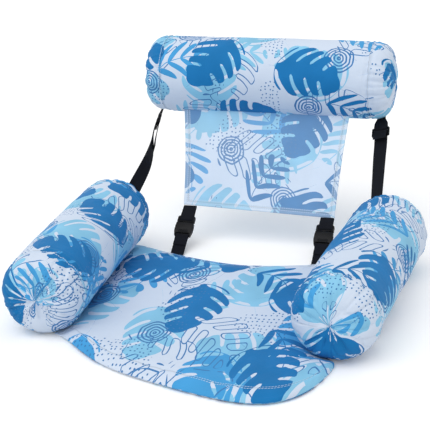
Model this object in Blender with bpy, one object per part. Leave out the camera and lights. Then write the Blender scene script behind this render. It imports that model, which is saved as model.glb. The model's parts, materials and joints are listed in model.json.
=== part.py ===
"""Inflatable pool chair: two armrest tubes sewn to a padded seat, and a strapped backrest.

Metres, +Z up. The sitter looks along -Y. The origin is the point of the seat's underside,
on the floor, midway between the armrests' middles.
"""
import math

import bmesh
import bpy
from mathutils import Matrix, Vector

# Clearances, the overrun that every cutter has, and the flat that the tubes stand on
SEAT_GAP = 0.0003
CUT_OVERRUN = 0.004
FLOOR_FLAT = 0.0005

# Armrest tubes
ARM_DIAMETER = 0.163
ARM_LENGTH = 0.540
ARM_CORNER = 0.045
ARM_DOME = 0.006
ARM_SPACING = 0.584
ARM_MIDDLE_Y = 0.034
ARM_TOE_IN = math.radians(3.0)

# Backrest tube
BOLSTER_DIAMETER = 0.170
BOLSTER_LENGTH = 0.566
BOLSTER_CORNER = 0.040
BOLSTER_DOME = 0.008
BOLSTER_Y = 0.490
BOLSTER_Z = 0.348

# Fabric covers, their sewn end seams and the gathers beyond them
COVER_WALL = 0.0020
GATHER_DEPTH = 0.0030
SEAM_HEIGHT = 0.0012
SEAM_HALF_WIDTH = 0.0025
COVER_PORT_RADIUS = 0.0115
GATHERS = 8
TUBE_SIDES = 32

# Rings on a tube's domed end, its round corner and its barrel
INNER_STEPS = (1, 3, 1)
OUTER_STEPS = (2, 5, 4)

# Air bladders inside the covers
BLADDER_WALL = 0.0010
BLADDER_PLAY = 0.0006

# Inflation valves and their plugs
VALVE_FLANGE_RADIUS = 0.0100
VALVE_FLANGE = 0.0012
VALVE_STEM_RADIUS = 0.0050
VALVE_BORE_RADIUS = 0.0033
VALVE_STEM_LENGTH = 0.0150
VALVE_SIDES = 20
PLUG_HEAD_RADIUS = 0.0078
PLUG_HEAD = 0.0022
PLUG_SHANK_LENGTH = 0.0100
PLUG_PLAY = 0.0003
PLUG_EDGE = 0.0006

# Padded seat, which runs under the armrests as far as their seams
SEAT_SEAM_INSET = 0.0200
SEAT_FRONT_SETBACK = 0.0360
SEAT_REAR_SETBACK = 0.0090
SEAT_FRONT_REACH = 0.166
SEAT_FRONT_SKEW = 0.088
SEAT_FLARE = 0.030
SEAT_FLARE_RUN = 0.040
SEAT_REAR_ARCH = 0.090
SEAT_EDGE = 0.0022
SEAT_HEM = 0.0070
SEAT_THICKNESS = 0.0165
SEAT_EDGE_ROLL = 0.048
SEAT_FRONT_ROLL = 0.030
SEAT_RIPPLE = 0.0012
SEAT_COLUMNS = 30
SEAT_ROWS = 24
FRONT_ROUND_SHARE = {"left": 3.6, "right": 3.8}
FRONT_FALL_SHARE = {"left": 1.4, "right": 0.5}
REAR_ARCH_SHARE = 1.6
RIPPLES = 2

# Webbing, and the bars that it turns round
WEB_WIDTH = 0.030
WEB_THICKNESS = 0.0016
WEB_GATHERED_WIDTH = 0.018
WEB_SLOT_PLAY = 0.0007
BAR_RADIUS = 0.0015
TURN_STEPS = 6

# Lower straps, from the hinge line behind the seat's rear hem to the panel's foot
HINGE_BEHIND_HEM = 0.0095
HINGE_Z = 0.0030
LOWER_RUN = 0.1301
LOWER_RISE = math.radians(33.5)
TAIL_LENGTH = 0.042
LOWER_LOOP_LENGTH = 0.026

# Hanging back panel
PANEL_TOP_HALF_WIDTH = 0.1885
PANEL_BOTTOM_HALF_WIDTH = 0.1720
PANEL_TOP_TURN = math.radians(34.0)
PANEL_THICKNESS = 0.0018
PANEL_HEM = 0.0030
PANEL_HEM_WIDTH = 0.016
PANEL_FOLD = 0.0045
PANEL_FOLDS = 2.5
PANEL_COLUMNS = 26
PANEL_ROWS = 13
PANEL_CROWDING_SHARE = 1.4

# Side straps: sewn on the bolster's round corner and on the armrest's, at these angles
SIDE_TOP_ARC = math.radians(64.0)
SIDE_TOP_TURN = math.radians(7.0)
SIDE_FOOT_ARC = math.radians(19.7)
SIDE_FOOT_TURN = math.radians(41.0)
UPPER_TAB_LENGTH = 0.031
SIDE_TAIL_LENGTH = {"left": 0.070, "right": 0.022}
SLIDER_TWIST = {"left": math.radians(112.0), "right": math.radians(-14.0)}
FOOT_TWIST = {"left": math.radians(34.0), "right": math.radians(-34.0)}
STRAP_STEPS = 14
TAIL_STEPS = 6
TAIL_DRIFT_SHARE = 0.12
BULGE_SHARE = 3.0

# Three-bar strap sliders
SLIDER_CHEEK = 0.0043
SLIDER_BAR_SPACING = 0.0085
SLIDER_END_RADIUS = 0.0030
SLIDER_SIDE_HALF_DEPTH = 0.0021

# Side-release buckles: the socket half, measured from its strap bar
BUCKLE_START = 0.050
BUCKLE_CHEEK = 0.0048
BUCKLE_WAIST_STEP = 0.0025
BUCKLE_HALF_DEPTH = 0.0052
BUCKLE_EDGE = 0.0008
STRAP_SLOT_HEIGHT = 0.0038
SOCKET_BACK_WALL = 0.0042
SOCKET_SIDE_WALL = 0.0028
SOCKET_SKIN = 0.0022
SOCKET_LENGTH = 0.0340
WINDOW_SETBACK = 0.0030
WINDOW_LENGTH = 0.0120
SHOULDER_STEPS = 4

# Side-release buckles: the plug half, its middle guide and its two sprung prongs
PLUG_REVEAL = 0.0022
PLUG_END_BAR = 0.0041
PLUG_THINNER = 0.0010
GUIDE_HALF_WIDTH = 0.0025
PRONG_ROOT_X = 0.0105
PRONG_ROOT_RADIUS = 0.0016
PRONG_SIDE_PLAY = 0.0006
PRONG_HEAD_INSET = 0.0012
PRONG_SHOULDER_PLAY = 0.0006
PRONG_TIP_CLEARANCE = 0.0030
PRONG_STEPS = 6

# Sizes that follow from the ones above
SEAT_HALF_WIDTH = ARM_SPACING / 2 - SEAT_SEAM_INSET
SEAT_FRONT_CORNER_Y = ARM_MIDDLE_Y - ARM_LENGTH / 2 + SEAT_FRONT_SETBACK
SEAT_REAR_CORNER_Y = ARM_MIDDLE_Y + ARM_LENGTH / 2 - SEAT_REAR_SETBACK
LOWER_STRAP_X = PANEL_BOTTOM_HALF_WIDTH - WEB_WIDTH / 2
WEB_SLOT_HALF_WIDTH = WEB_WIDTH / 2 + WEB_SLOT_PLAY
FOLD_RADIUS = BAR_RADIUS * math.sqrt(2) + SEAT_GAP + WEB_THICKNESS / 2
BUCKLE_HALF_WIDTH = WEB_SLOT_HALF_WIDTH + BUCKLE_CHEEK
SOCKET_FLOOR = BAR_RADIUS + STRAP_SLOT_HEIGHT + SOCKET_BACK_WALL
SOCKET_HOLLOW_HALF_DEPTH = BUCKLE_HALF_DEPTH - SOCKET_SKIN
WINDOW_LOW = SOCKET_FLOOR + WINDOW_SETBACK
WINDOW_HIGH = WINDOW_LOW + WINDOW_LENGTH
PLUG_LOW = SOCKET_LENGTH + PLUG_REVEAL
FIRST_SLOT = PLUG_LOW + BAR_RADIUS + SEAT_GAP
MIDDLE_BAR = FIRST_SLOT + STRAP_SLOT_HEIGHT + BAR_RADIUS
SECOND_SLOT = MIDDLE_BAR + BAR_RADIUS
PLUG_HIGH = SECOND_SLOT + STRAP_SLOT_HEIGHT + PLUG_END_BAR
PRONG_ROOT_Y = PLUG_LOW - PRONG_ROOT_RADIUS - SEAT_GAP
PRONG_TIP_Y = SOCKET_FLOOR + PRONG_TIP_CLEARANCE

# Looks: base colour and roughness
PRINTED_CLOTH = ((0.33, 0.55, 0.82), 0.75)
SHEER_CLOTH = ((0.50, 0.66, 0.84), 0.80)
CLEAR_VINYL = ((0.70, 0.78, 0.84), 0.25)
WHITE_VINYL = ((0.85, 0.86, 0.88), 0.35)
BLACK_WEBBING = ((0.018, 0.020, 0.028), 0.80)
BLACK_ACETAL = ((0.012, 0.013, 0.017), 0.35)
MACHINED_ANGLE = math.radians(32.0)
SOFT_ANGLE = math.radians(50.0)

SIDES = {"left": -1, "right": 1}
UP = Vector((0, 0, 1))
RIGHT = Vector((1, 0, 0))


def clear_scene():
    """Start from an empty scene."""
    for item in list(bpy.data.objects):
        bpy.data.objects.remove(item, do_unlink=True)


def material(name, colour, roughness):
    """A Principled material of one colour."""
    made = bpy.data.materials.new(name)
    made.use_nodes = True
    shader = made.node_tree.nodes["Principled BSDF"]
    shader.inputs["Base Color"].default_value = (*colour, 1.0)
    shader.inputs["Roughness"].default_value = roughness
    shader.inputs["Metallic"].default_value = 0.0
    return made


def finish(name, bm, look, place=None, smooth_angle=MACHINED_ANGLE):
    """Turn a bmesh into a named object with its own material."""
    bmesh.ops.recalc_face_normals(bm, faces=bm.faces)
    mesh = bpy.data.meshes.new(name)
    bm.to_mesh(mesh)
    bm.free()
    mesh.shade_smooth()
    mesh.set_sharp_from_angle(angle=smooth_angle)
    made = bpy.data.objects.new(name, mesh)
    bpy.context.scene.collection.objects.link(made)
    mesh.materials.append(material(name, *look))
    if place is not None:
        made.matrix_world = place
    return made


def cut(target, cutter):
    """Cut a target with another object, and hide that object."""
    step = target.modifiers.new(cutter.name, "BOOLEAN")
    step.operation = "DIFFERENCE"
    step.solver = "EXACT"
    step.object = cutter
    cutter.hide_render = True
    cutter.display_type = "WIRE"


def box(name, low, high, place=None):
    """A plain box between two corners, used as a cutter."""
    bm = bmesh.new()
    bmesh.ops.create_cube(bm, size=1.0)
    size = Vector(high) - Vector(low)
    middle = (Vector(high) + Vector(low)) / 2
    stretch = Matrix.Translation(middle) @ Matrix.Diagonal((*size, 1.0))
    bmesh.ops.transform(bm, matrix=stretch, verts=bm.verts)
    return finish(name, bm, BLACK_ACETAL, place)


def frame_matrix(origin, across, along):
    """A place whose X runs across, whose Y runs along, and whose Z faces out."""
    across = Vector(across).normalized()
    along = Vector(along).normalized()
    out = across.cross(along).normalized()
    across = along.cross(out)
    turn = Matrix((across, along, out)).transposed().to_4x4()
    return Matrix.Translation(Vector(origin)) @ turn


def smooth(share):
    """A smooth rise from 0 to 1."""
    share = min(1, max(0, share))
    return share * share * (3 - 2 * share)


# Tubes

class Tube:
    """A round inflated tube along its own Z, with its valve end at +Z and its X facing up."""

    def __init__(self, diameter, length, corner, dome, middle, heading):
        self.radius = diameter / 2
        self.half = length / 2
        self.corner = corner
        self.dome = dome
        self.shoulder = self.half - dome - corner
        turn = Matrix((UP, heading.cross(UP), heading)).transposed().to_4x4()
        self.place = Matrix.Translation(middle) @ turn

    def on_corner(self, end, arc, turn):
        """A point on an end's round corner: arc from the end's face, turn about the axis from up."""
        reach = self.radius - self.corner + self.corner * math.sin(arc)
        height = end * (self.shoulder + self.corner * math.cos(arc))
        return self.place @ Vector((reach * math.cos(turn), reach * math.sin(turn), height))

    def profile(self, offset, port, steps, seam):
        """Points (radius, height, normal radius, normal height, gather share), valve end first."""
        end_steps, corner_steps, barrel_steps = steps
        radius, half, corner = self.radius + offset, self.half + offset, self.corner + offset
        flat = radius - corner
        points = []
        for i in range(end_steps):
            r = port + (flat - port) * i / end_steps
            share = (r / flat) ** 2
            points.append((r, half - self.dome * share, 0, 1, share))
        for i in range(corner_steps + 1):
            turn = math.pi / 2 * i / corner_steps
            out, up = math.sin(turn), math.cos(turn)
            points.append((flat + corner * out, self.shoulder + corner * up, out, up, math.sqrt(up)))
        if seam:
            for step, rise in enumerate((0, SEAM_HEIGHT, 0), 1):
                points.append((radius + rise, self.shoulder - SEAM_HALF_WIDTH * step, 1, 0, 0))
        for i in range(1, barrel_steps):
            points.append((radius, self.shoulder * (1 - 2 * i / barrel_steps), 1, 0, 0))
        near = [point for point in points if point[1] > 0]
        level = [point for point in points if point[1] == 0]
        far = [(r, -z, out, -up, share) for r, z, out, up, share in near[::-1] if r > port]
        return near + level + far

    def rings(self, bm, profile, gather):
        """Rings of vertices along a profile, and a pole vertex that closes the far end."""
        made = []
        for r, z, out, up, share in profile:
            ring = []
            for i in range(TUBE_SIDES):
                turn = 2 * math.pi * (i + 0.5) / TUBE_SIDES
                rise = gather * share * (1 + math.cos(GATHERS * turn)) / 2
                reach = r + rise * out
                ring.append(bm.verts.new((reach * math.cos(turn), reach * math.sin(turn), z + rise * up)))
            made.append(ring)
        return made, bm.verts.new((0, 0, -profile[0][1]))

    def skin(self, bm, rings, pole):
        """Faces along the rings and round the far pole."""
        for first, second in zip(rings, rings[1:]):
            for i in range(TUBE_SIDES):
                j = (i + 1) % TUBE_SIDES
                bm.faces.new((first[i], first[j], second[j], second[i]))
        for i in range(TUBE_SIDES):
            bm.faces.new((rings[-1][i], rings[-1][(i + 1) % TUBE_SIDES], pole))

    def cut_floor(self, bm):
        """Cut the tube flat where it stands on the floor."""
        back = self.place.inverted()
        point = back @ Vector((0, 0, 0))
        normal = back.to_3x3() @ UP
        everything = bm.verts[:] + bm.edges[:] + bm.faces[:]
        bmesh.ops.bisect_plane(bm, geom=everything, plane_co=point, plane_no=normal, clear_inner=True)
        bmesh.ops.holes_fill(bm, edges=[edge for edge in bm.edges if edge.is_boundary], sides=0)

    def cover(self, name, on_floor):
        """The sewn cloth cover, open at its valve port, with seams and gathered ends."""
        bm = bmesh.new()
        outer = self.profile(0, COVER_PORT_RADIUS, OUTER_STEPS, True)
        inner = self.profile(-COVER_WALL, COVER_PORT_RADIUS, INNER_STEPS, False)
        self.shell(bm, outer, inner, GATHER_DEPTH)
        if on_floor:
            self.cut_floor(bm)
        return finish(name, bm, PRINTED_CLOTH, self.place, SOFT_ANGLE)

    def bladder(self, name):
        """The air bladder inside the cover, open where its valve sits."""
        bm = bmesh.new()
        port = VALVE_STEM_RADIUS + SEAT_GAP
        offset = -COVER_WALL - BLADDER_PLAY
        outer = self.profile(offset, port, INNER_STEPS, False)
        inner = self.profile(offset - BLADDER_WALL, port, INNER_STEPS, False)
        self.shell(bm, outer, inner, 0)
        return finish(name, bm, CLEAR_VINYL, self.place, SOFT_ANGLE)

    def shell(self, bm, outer, inner, gather):
        """Two skins joined round the port."""
        outside, pole = self.rings(bm, outer, gather)
        self.skin(bm, outside, pole)
        inside, inner_pole = self.rings(bm, inner, 0)
        self.skin(bm, inside, inner_pole)
        for i in range(TUBE_SIDES):
            j = (i + 1) % TUBE_SIDES
            bm.faces.new((outside[0][i], outside[0][j], inside[0][j], inside[0][i]))

    def trimmer(self, name):
        """A solid copy a little larger than the cover, which trims what is sewn to it."""
        bm = bmesh.new()
        profile = self.profile(SEAT_GAP, COVER_PORT_RADIUS, OUTER_STEPS, True)
        rings, pole = self.rings(bm, profile, GATHER_DEPTH)
        self.skin(bm, rings, pole)
        bm.faces.new(rings[0])
        return finish(name, bm, PRINTED_CLOTH, self.place)

    def valve(self, name):
        """A flanged stem through the bladder's port."""
        foot = self.half - COVER_WALL - BLADDER_PLAY + SEAT_GAP
        top = foot + VALVE_FLANGE
        inner = foot - VALVE_STEM_LENGTH
        outline = [(VALVE_BORE_RADIUS, top), (VALVE_BORE_RADIUS, inner), (VALVE_STEM_RADIUS, inner),
                   (VALVE_STEM_RADIUS, foot), (VALVE_FLANGE_RADIUS, foot), (VALVE_FLANGE_RADIUS, top)]
        return turned(name, outline, WHITE_VINYL, self.place)

    def plug(self, name):
        """A headed plug that seats on the valve's flange."""
        head = self.half - COVER_WALL - BLADDER_PLAY + VALVE_FLANGE + 2 * SEAT_GAP
        crown = head + PLUG_HEAD
        shank = VALVE_BORE_RADIUS - PLUG_PLAY
        tip = head - PLUG_SHANK_LENGTH
        outline = [(0, crown), (PLUG_HEAD_RADIUS - PLUG_EDGE, crown), (PLUG_HEAD_RADIUS, crown - PLUG_EDGE),
                   (PLUG_HEAD_RADIUS, head), (shank, head), (shank, tip + PLUG_EDGE),
                   (shank - PLUG_EDGE, tip), (0, tip)]
        return turned(name, outline, WHITE_VINYL, self.place)

    def complete(self, prefix, on_floor):
        """Cover, bladder, valve and plug."""
        self.cover(prefix + "_cover", on_floor)
        self.bladder(prefix + "_bladder")
        self.valve(prefix + "_valve")
        self.plug(prefix + "_plug")


def turned(name, outline, look, place):
    """A body turned about its own Z from an outline of (radius, height) points."""
    bm = bmesh.new()
    rings = []
    for radius, height in outline:
        sides = VALVE_SIDES if radius else 1
        turns = [2 * math.pi * i / sides for i in range(sides)]
        rings.append([bm.verts.new((radius * math.cos(t), radius * math.sin(t), height)) for t in turns])
    for first, second in zip(rings, rings[1:] + rings[:1]):
        for i in range(VALVE_SIDES):
            j = (i + 1) % VALVE_SIDES
            corners = [first[i % len(first)], first[j % len(first)],
                       second[j % len(second)], second[i % len(second)]]
            corners = list(dict.fromkeys(corners))
            if len(corners) > 2:
                bm.faces.new(corners)
    return finish(name, bm, look, place)


def arm_tube(sign):
    """An armrest, its valve end at the rear."""
    heading = Vector((sign * math.sin(ARM_TOE_IN), math.cos(ARM_TOE_IN), 0))
    middle = Vector((sign * ARM_SPACING / 2, ARM_MIDDLE_Y, ARM_DIAMETER / 2 - FLOOR_FLAT))
    return Tube(ARM_DIAMETER, ARM_LENGTH, ARM_CORNER, ARM_DOME, middle, heading)


def bolster_tube():
    """The backrest tube, its valve end at the sitter's right, which is -X."""
    middle = Vector((0, BOLSTER_Y, BOLSTER_Z))
    return Tube(BOLSTER_DIAMETER, BOLSTER_LENGTH, BOLSTER_CORNER, BOLSTER_DOME, middle, -RIGHT)


# Seat

def seat_half_width(y, share):
    """The seat widens to the rear with the toe-in, and flares out before the right armrest's end."""
    flare = SEAT_FLARE * smooth((SEAT_FRONT_CORNER_Y - y) / SEAT_FLARE_RUN) if share > 0 else 0
    return SEAT_HALF_WIDTH + math.tan(ARM_TOE_IN) * (max(y, SEAT_FRONT_CORNER_Y) - ARM_MIDDLE_Y) + flare


def seat_front(share):
    """The front hem bulges past the armrests: drawn in on the left, full on the right."""
    side = "right" if share > 0 else "left"
    reach = SEAT_FRONT_REACH + SEAT_FRONT_SKEW * share
    rest = max(0, 1 - abs(share) ** FRONT_ROUND_SHARE[side])
    return SEAT_FRONT_CORNER_Y - reach * rest ** FRONT_FALL_SHARE[side]


def seat_rear(share):
    """The rear hem is arched forward between the strap tails."""
    return SEAT_REAR_CORNER_Y - SEAT_REAR_ARCH * (1 - abs(share) ** REAR_ARCH_SHARE)


def rolled(distance):
    """Share of the full height at a distance from the rolled front hem."""
    return math.sqrt(1 - (1 - min(1, distance / SEAT_FRONT_ROLL)) ** 2)


def seat_height(share, along, y, from_front, from_side, from_rear):
    """Height of the seat's crowned top: thin where sewn, a rolled front and a few soft ripples."""
    sewn_rise = smooth(from_side / SEAT_EDGE_ROLL)
    ahead = smooth((SEAT_FRONT_CORNER_Y - y) / SEAT_EDGE_ROLL)
    side_rise = sewn_rise + (rolled(from_side) - sewn_rise) * ahead
    rear_rise = smooth(from_rear / SEAT_EDGE_ROLL)
    front_rise = rolled(from_front)
    hem = SEAT_HEM + (SEAT_THICKNESS - SEAT_HEM) * rear_rise
    ripple = SEAT_RIPPLE * math.sin(2 * math.pi * RIPPLES * share) * math.sin(2 * math.pi * along)
    rise = (hem - SEAT_EDGE + ripple * rear_rise) * front_rise * side_rise
    return SEAT_EDGE + rise


def seat_panel(trimmers):
    """The padded seat: flat underneath, trimmed to the armrests, pocketed for the strap tails."""
    bm = bmesh.new()
    top, bottom = {}, {}
    for i in range(SEAT_COLUMNS + 1):
        share = math.sin(math.pi * (i / SEAT_COLUMNS - 0.5))
        front, rear = seat_front(share), seat_rear(share)
        for j in range(SEAT_ROWS + 1):
            along = j / SEAT_ROWS
            y = front + (rear - front) * along
            half = seat_half_width(y, share)
            z = seat_height(share, along, y, y - front, half * (1 - abs(share)), rear - y)
            top[i, j] = bm.verts.new((half * share, y, z))
            if i in (0, SEAT_COLUMNS) or j in (0, SEAT_ROWS):
                bottom[i, j] = bm.verts.new((half * share, y, 0))
    for i in range(SEAT_COLUMNS):
        for j in range(SEAT_ROWS):
            bm.faces.new((top[i, j], top[i + 1, j], top[i + 1, j + 1], top[i, j + 1]))
    edge = [(i, 0) for i in range(SEAT_COLUMNS)] + [(SEAT_COLUMNS, j) for j in range(SEAT_ROWS)]
    edge += [(i, SEAT_ROWS) for i in range(SEAT_COLUMNS, 0, -1)] + [(0, j) for j in range(SEAT_ROWS, 0, -1)]
    for here, there in zip(edge, edge[1:] + edge[:1]):
        bm.faces.new((top[here], bottom[here], bottom[there], top[there]))
    bm.faces.new([bottom[key] for key in edge])
    bmesh.ops.remove_doubles(bm, verts=bm.verts, dist=SEAT_GAP / 10)
    seat = finish("seat_panel", bm, PRINTED_CLOTH)
    for trimmer in trimmers:
        cut(seat, trimmer)
    half = WEB_WIDTH / 2 + SEAT_GAP
    for side, sign in SIDES.items():
        hinge = hinge_point(sign)
        low = (hinge.x - half, hinge.y - TAIL_LENGTH - SEAT_GAP, -CUT_OVERRUN)
        high = (hinge.x + half, SEAT_REAR_CORNER_Y, hinge.z + WEB_THICKNESS / 2 + SEAT_GAP)
        cut(seat, box(side + "_tail_pocket", low, high))
    return seat


# Webbing

def ribbon(name, centres, acrosses, widths, thicknesses):
    """A flat strap swept along centres, its width along the given directions."""
    bm = bmesh.new()
    sections = []
    last = len(centres) - 1
    for i, (centre, across, width, thick) in enumerate(zip(centres, acrosses, widths, thicknesses)):
        before, after = centres[max(0, i - 1)], centres[min(last, i + 1)]
        along = (after - before).normalized()
        face = across.cross(along).normalized()
        if 0 < i < last:
            thick = thick / mitre(centre - before, after - centre)
        side = (across - along * across.dot(along)).normalized() * width / 2
        corners = [(1, 1), (-1, 1), (-1, -1), (1, -1)]
        sections.append([bm.verts.new(centre + side * a + face * b * thick / 2) for a, b in corners])
    for first, second in zip(sections, sections[1:]):
        for i in range(4):
            j = (i + 1) % 4
            bm.faces.new((first[i], first[j], second[j], second[i]))
    bm.faces.new(sections[0][::-1])
    bm.faces.new(sections[-1])
    return finish(name, bm, BLACK_WEBBING)


def mitre(first, second):
    """Cosine of half the bend between two runs, kept away from zero."""
    bend = first.normalized().dot(second.normalized())
    return math.sqrt(max(0.25, (1 + bend) / 2))


def half_turn(bar, along, out):
    """Centres of the half turn that webbing makes round a bar, from behind to the front."""
    made = []
    for i in range(TURN_STEPS + 1):
        turn = math.pi * i / TURN_STEPS
        made.append(bar + (along * math.sin(turn) - out * math.cos(turn)) * FOLD_RADIUS)
    return made


def doubled(name, path, across, widths, bar_along):
    """Webbing doubled along a path of centre points and folded round the bar at its end."""
    closed = WEB_THICKNESS / 2 + SEAT_GAP
    out = across.cross(bar_along).normalized()
    back, front = [], []
    for i, point in enumerate(path[:-1]):
        towards = (path[i + 1] - point).normalized()
        before = towards if i == 0 else (point - path[i - 1]).normalized()
        face = across.cross(-(towards + before).normalized()).normalized()
        spread = (closed if i < len(path) - 2 else FOLD_RADIUS) / mitre(towards, before)
        back.append(point - face * spread)
        front.append(point + face * spread)
    bend = half_turn(path[-1], -bar_along, out)
    centres = back + bend + front[::-1]
    width = widths + [widths[-1]] * len(bend) + widths[::-1]
    return ribbon(name, centres, [across] * len(centres), width, [WEB_THICKNESS] * len(centres))


# Side straps

def twisted(down, turn):
    """The across direction of a side strap, turned about the strap."""
    level = (RIGHT - down * RIGHT.dot(down)).normalized()
    return (level * math.cos(turn) + level.cross(down) * math.sin(turn)).normalized()


def side_line(sign, bolster, arm):
    """Top and foot of a side strap, on the bolster's corner and on the armrest's rear corner."""
    top = bolster.on_corner(-sign, SIDE_TOP_ARC, math.pi + SIDE_TOP_TURN)
    foot = arm.on_corner(1, SIDE_FOOT_ARC, -sign * SIDE_FOOT_TURN)
    return top, foot


def side_strap(side, line, bolster_trimmer, arm_trimmer):
    """Tab, three-bar slider and the long strap from the bolster's end to the arm's rear."""
    top, foot = line
    down = (foot - top).normalized()
    across = twisted(down, SLIDER_TWIST[side])
    out = across.cross(-down)
    bar = top + down * UPPER_TAB_LENGTH
    middle = bar + down * SLIDER_BAR_SPACING
    sunk = down * (COVER_WALL + GATHER_DEPTH)

    path = [top - sunk, top, top + down * UPPER_TAB_LENGTH / 2, bar - down * SLIDER_END_RADIUS, bar]
    widths = [WEB_GATHERED_WIDTH, WEB_GATHERED_WIDTH, WEB_WIDTH, WEB_WIDTH]
    tab = doubled(side + "_upper_tab", path, across, widths, -down)
    cut(tab, bolster_trimmer)

    slider(side + "_strap_slider", middle, across, -down)

    bend = half_turn(middle, -down, out)
    start = bend[0]
    reach = foot + sunk - start
    stand_off = SLIDER_END_RADIUS - FOLD_RADIUS + WEB_THICKNESS
    centres, acrosses = [], []
    for i in range(STRAP_STEPS, 0, -1):
        share = i / STRAP_STEPS
        turn = SLIDER_TWIST[side] + (FOOT_TWIST[side] - SLIDER_TWIST[side]) * smooth(share)
        bulge = stand_off * math.sin(math.pi * min(1, BULGE_SHARE * share)) ** 2
        centres.append(start + reach * share - out * bulge)
        acrosses.append(twisted(down, turn))
    centres += bend
    tail = SIDE_TAIL_LENGTH[side]
    for i in range(1, TAIL_STEPS + 1):
        share = i / TAIL_STEPS
        drift = tail * TAIL_DRIFT_SHARE * share ** 2
        lift = stand_off * smooth(BULGE_SHARE * share) + drift
        centres.append(bend[-1] + down * tail * share + out * lift)
    acrosses += [across] * (len(bend) + TAIL_STEPS)
    count = len(centres)
    strap = ribbon(side + "_side_strap", centres, acrosses, [WEB_WIDTH] * count, [WEB_THICKNESS] * count)
    cut(strap, arm_trimmer)


def slider(name, middle, across, along):
    """A three-bar slider: a flat frame with two slots for webbing and slim bars."""
    place = frame_matrix(middle, across, along)
    slot = WEB_SLOT_HALF_WIDTH
    end = SLIDER_BAR_SPACING + SLIDER_END_RADIUS
    outline = rounded_outline(slot + SLIDER_CHEEK, end, SLIDER_END_RADIUS)
    body = plate(name, outline, SLIDER_SIDE_HALF_DEPTH, place, BUCKLE_EDGE)
    gap = SLIDER_BAR_SPACING - 2 * BAR_RADIUS
    for low in (-BAR_RADIUS - gap, BAR_RADIUS):
        cut(body, box(name + "_slot", (-slot, low, -CUT_OVERRUN), (slot, low + gap, CUT_OVERRUN), place))
    for sign in (-1, 1):
        low, high = sorted((sign * BAR_RADIUS, sign * CUT_OVERRUN))
        cut(body, box(name + "_relief", (-slot, -end - CUT_OVERRUN, low),
                      (slot, end + CUT_OVERRUN, high), place))
    return body


def rounded_outline(half_width, half_height, corner):
    """A rectangle with round corners, counter-clockwise."""
    points = []
    for quarter, (sx, sy) in enumerate(((1, 1), (-1, 1), (-1, -1), (1, -1))):
        for i in range(SHOULDER_STEPS + 1):
            turn = math.pi / 2 * (quarter + i / SHOULDER_STEPS)
            points.append((sx * (half_width - corner) + corner * math.cos(turn),
                           sy * (half_height - corner) + corner * math.sin(turn)))
    return points


def plate(name, outline, half_depth, place, edge):
    """An outline extruded both ways, with softened edges."""
    bm = bmesh.new()
    face = bm.faces.new([bm.verts.new((x, y, -half_depth)) for x, y in outline])
    bm.normal_update()
    raised = bmesh.ops.extrude_face_region(bm, geom=[face])["geom"]
    rise = [item for item in raised if isinstance(item, bmesh.types.BMVert)]
    bmesh.ops.translate(bm, vec=(0, 0, 2 * half_depth), verts=rise)
    made = finish(name, bm, BLACK_ACETAL, place)
    soften = made.modifiers.new("soft_edge", "BEVEL")
    soften.width = edge
    soften.segments = 1
    soften.limit_method = "ANGLE"
    soften.angle_limit = SOFT_ANGLE
    return made


# Buckles and lower straps

def hinge_point(sign):
    """Where a lower strap is sewn behind the seat's rear hem, on the backrest's hinge line."""
    share = LOWER_STRAP_X / seat_half_width(SEAT_REAR_CORNER_Y, 0)
    return Vector((sign * LOWER_STRAP_X, seat_rear(share) + HINGE_BEHIND_HEM, HINGE_Z))


def lower_along():
    """Direction of the lower straps, from the hinge line up to the panel."""
    return Vector((0, math.cos(LOWER_RISE), math.sin(LOWER_RISE)))


def hem_tail(side):
    """The end of a lower strap, sewn flat in its pocket under the seat's rear hem."""
    low = hinge_point(SIDES[side])
    tail = [low - Vector((0, WEB_THICKNESS / 2 + SEAT_GAP, 0)), low - Vector((0, TAIL_LENGTH / 2, 0)),
            low - Vector((0, TAIL_LENGTH, 0))]
    ribbon(side + "_hem_tail", tail, [RIGHT] * 3, [WEB_WIDTH] * 3, [WEB_THICKNESS] * 3)


def buckle_place(sign):
    """The buckle lies in the lower strap, its Z facing up and forward."""
    along = lower_along()
    return frame_matrix(hinge_point(sign) + along * BUCKLE_START, RIGHT, along)


def mirrored(right):
    """A closed outline from the points of its right half."""
    return right + [(-x, y) for x, y in right[::-1]]


def buckle_socket(side, place):
    """The half that stays with the seat's strap: a hollow shell with two side windows."""
    low, high = -BAR_RADIUS, SOCKET_LENGTH
    wide, slot = BUCKLE_HALF_WIDTH, WEB_SLOT_HALF_WIDTH
    right = []
    for i in range(SHOULDER_STEPS + 1):
        share = i / SHOULDER_STEPS
        right.append((wide - BUCKLE_WAIST_STEP * (1 - smooth(share)), low + (WINDOW_LOW - low) * share))
    right += [(wide, WINDOW_HIGH), (wide - BUCKLE_EDGE, high)]
    socket = plate(side + "_buckle_socket", mirrored(right), BUCKLE_HALF_DEPTH, place, BUCKLE_EDGE)
    hollow = SOCKET_HOLLOW_HALF_DEPTH
    mouth = wide - SOCKET_SIDE_WALL
    cut(socket, box(side + "_socket_hollow", (-mouth, SOCKET_FLOOR, -hollow),
                    (mouth, high + CUT_OVERRUN, hollow), place))
    cut(socket, box(side + "_socket_windows", (-wide - CUT_OVERRUN, WINDOW_LOW, -hollow),
                    (wide + CUT_OVERRUN, WINDOW_HIGH, hollow), place))
    cut(socket, box(side + "_socket_slot", (-slot, BAR_RADIUS, -2 * BUCKLE_HALF_DEPTH),
                    (slot, BAR_RADIUS + STRAP_SLOT_HEIGHT, 2 * BUCKLE_HALF_DEPTH), place))
    for sign in (-1, 1):
        near, far = sorted((sign * BAR_RADIUS, sign * 2 * BUCKLE_HALF_DEPTH))
        cut(socket, box(side + "_socket_relief", (-slot, low - CUT_OVERRUN, near),
                        (slot, BAR_RADIUS + SEAT_GAP, far), place))
    return socket


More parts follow.
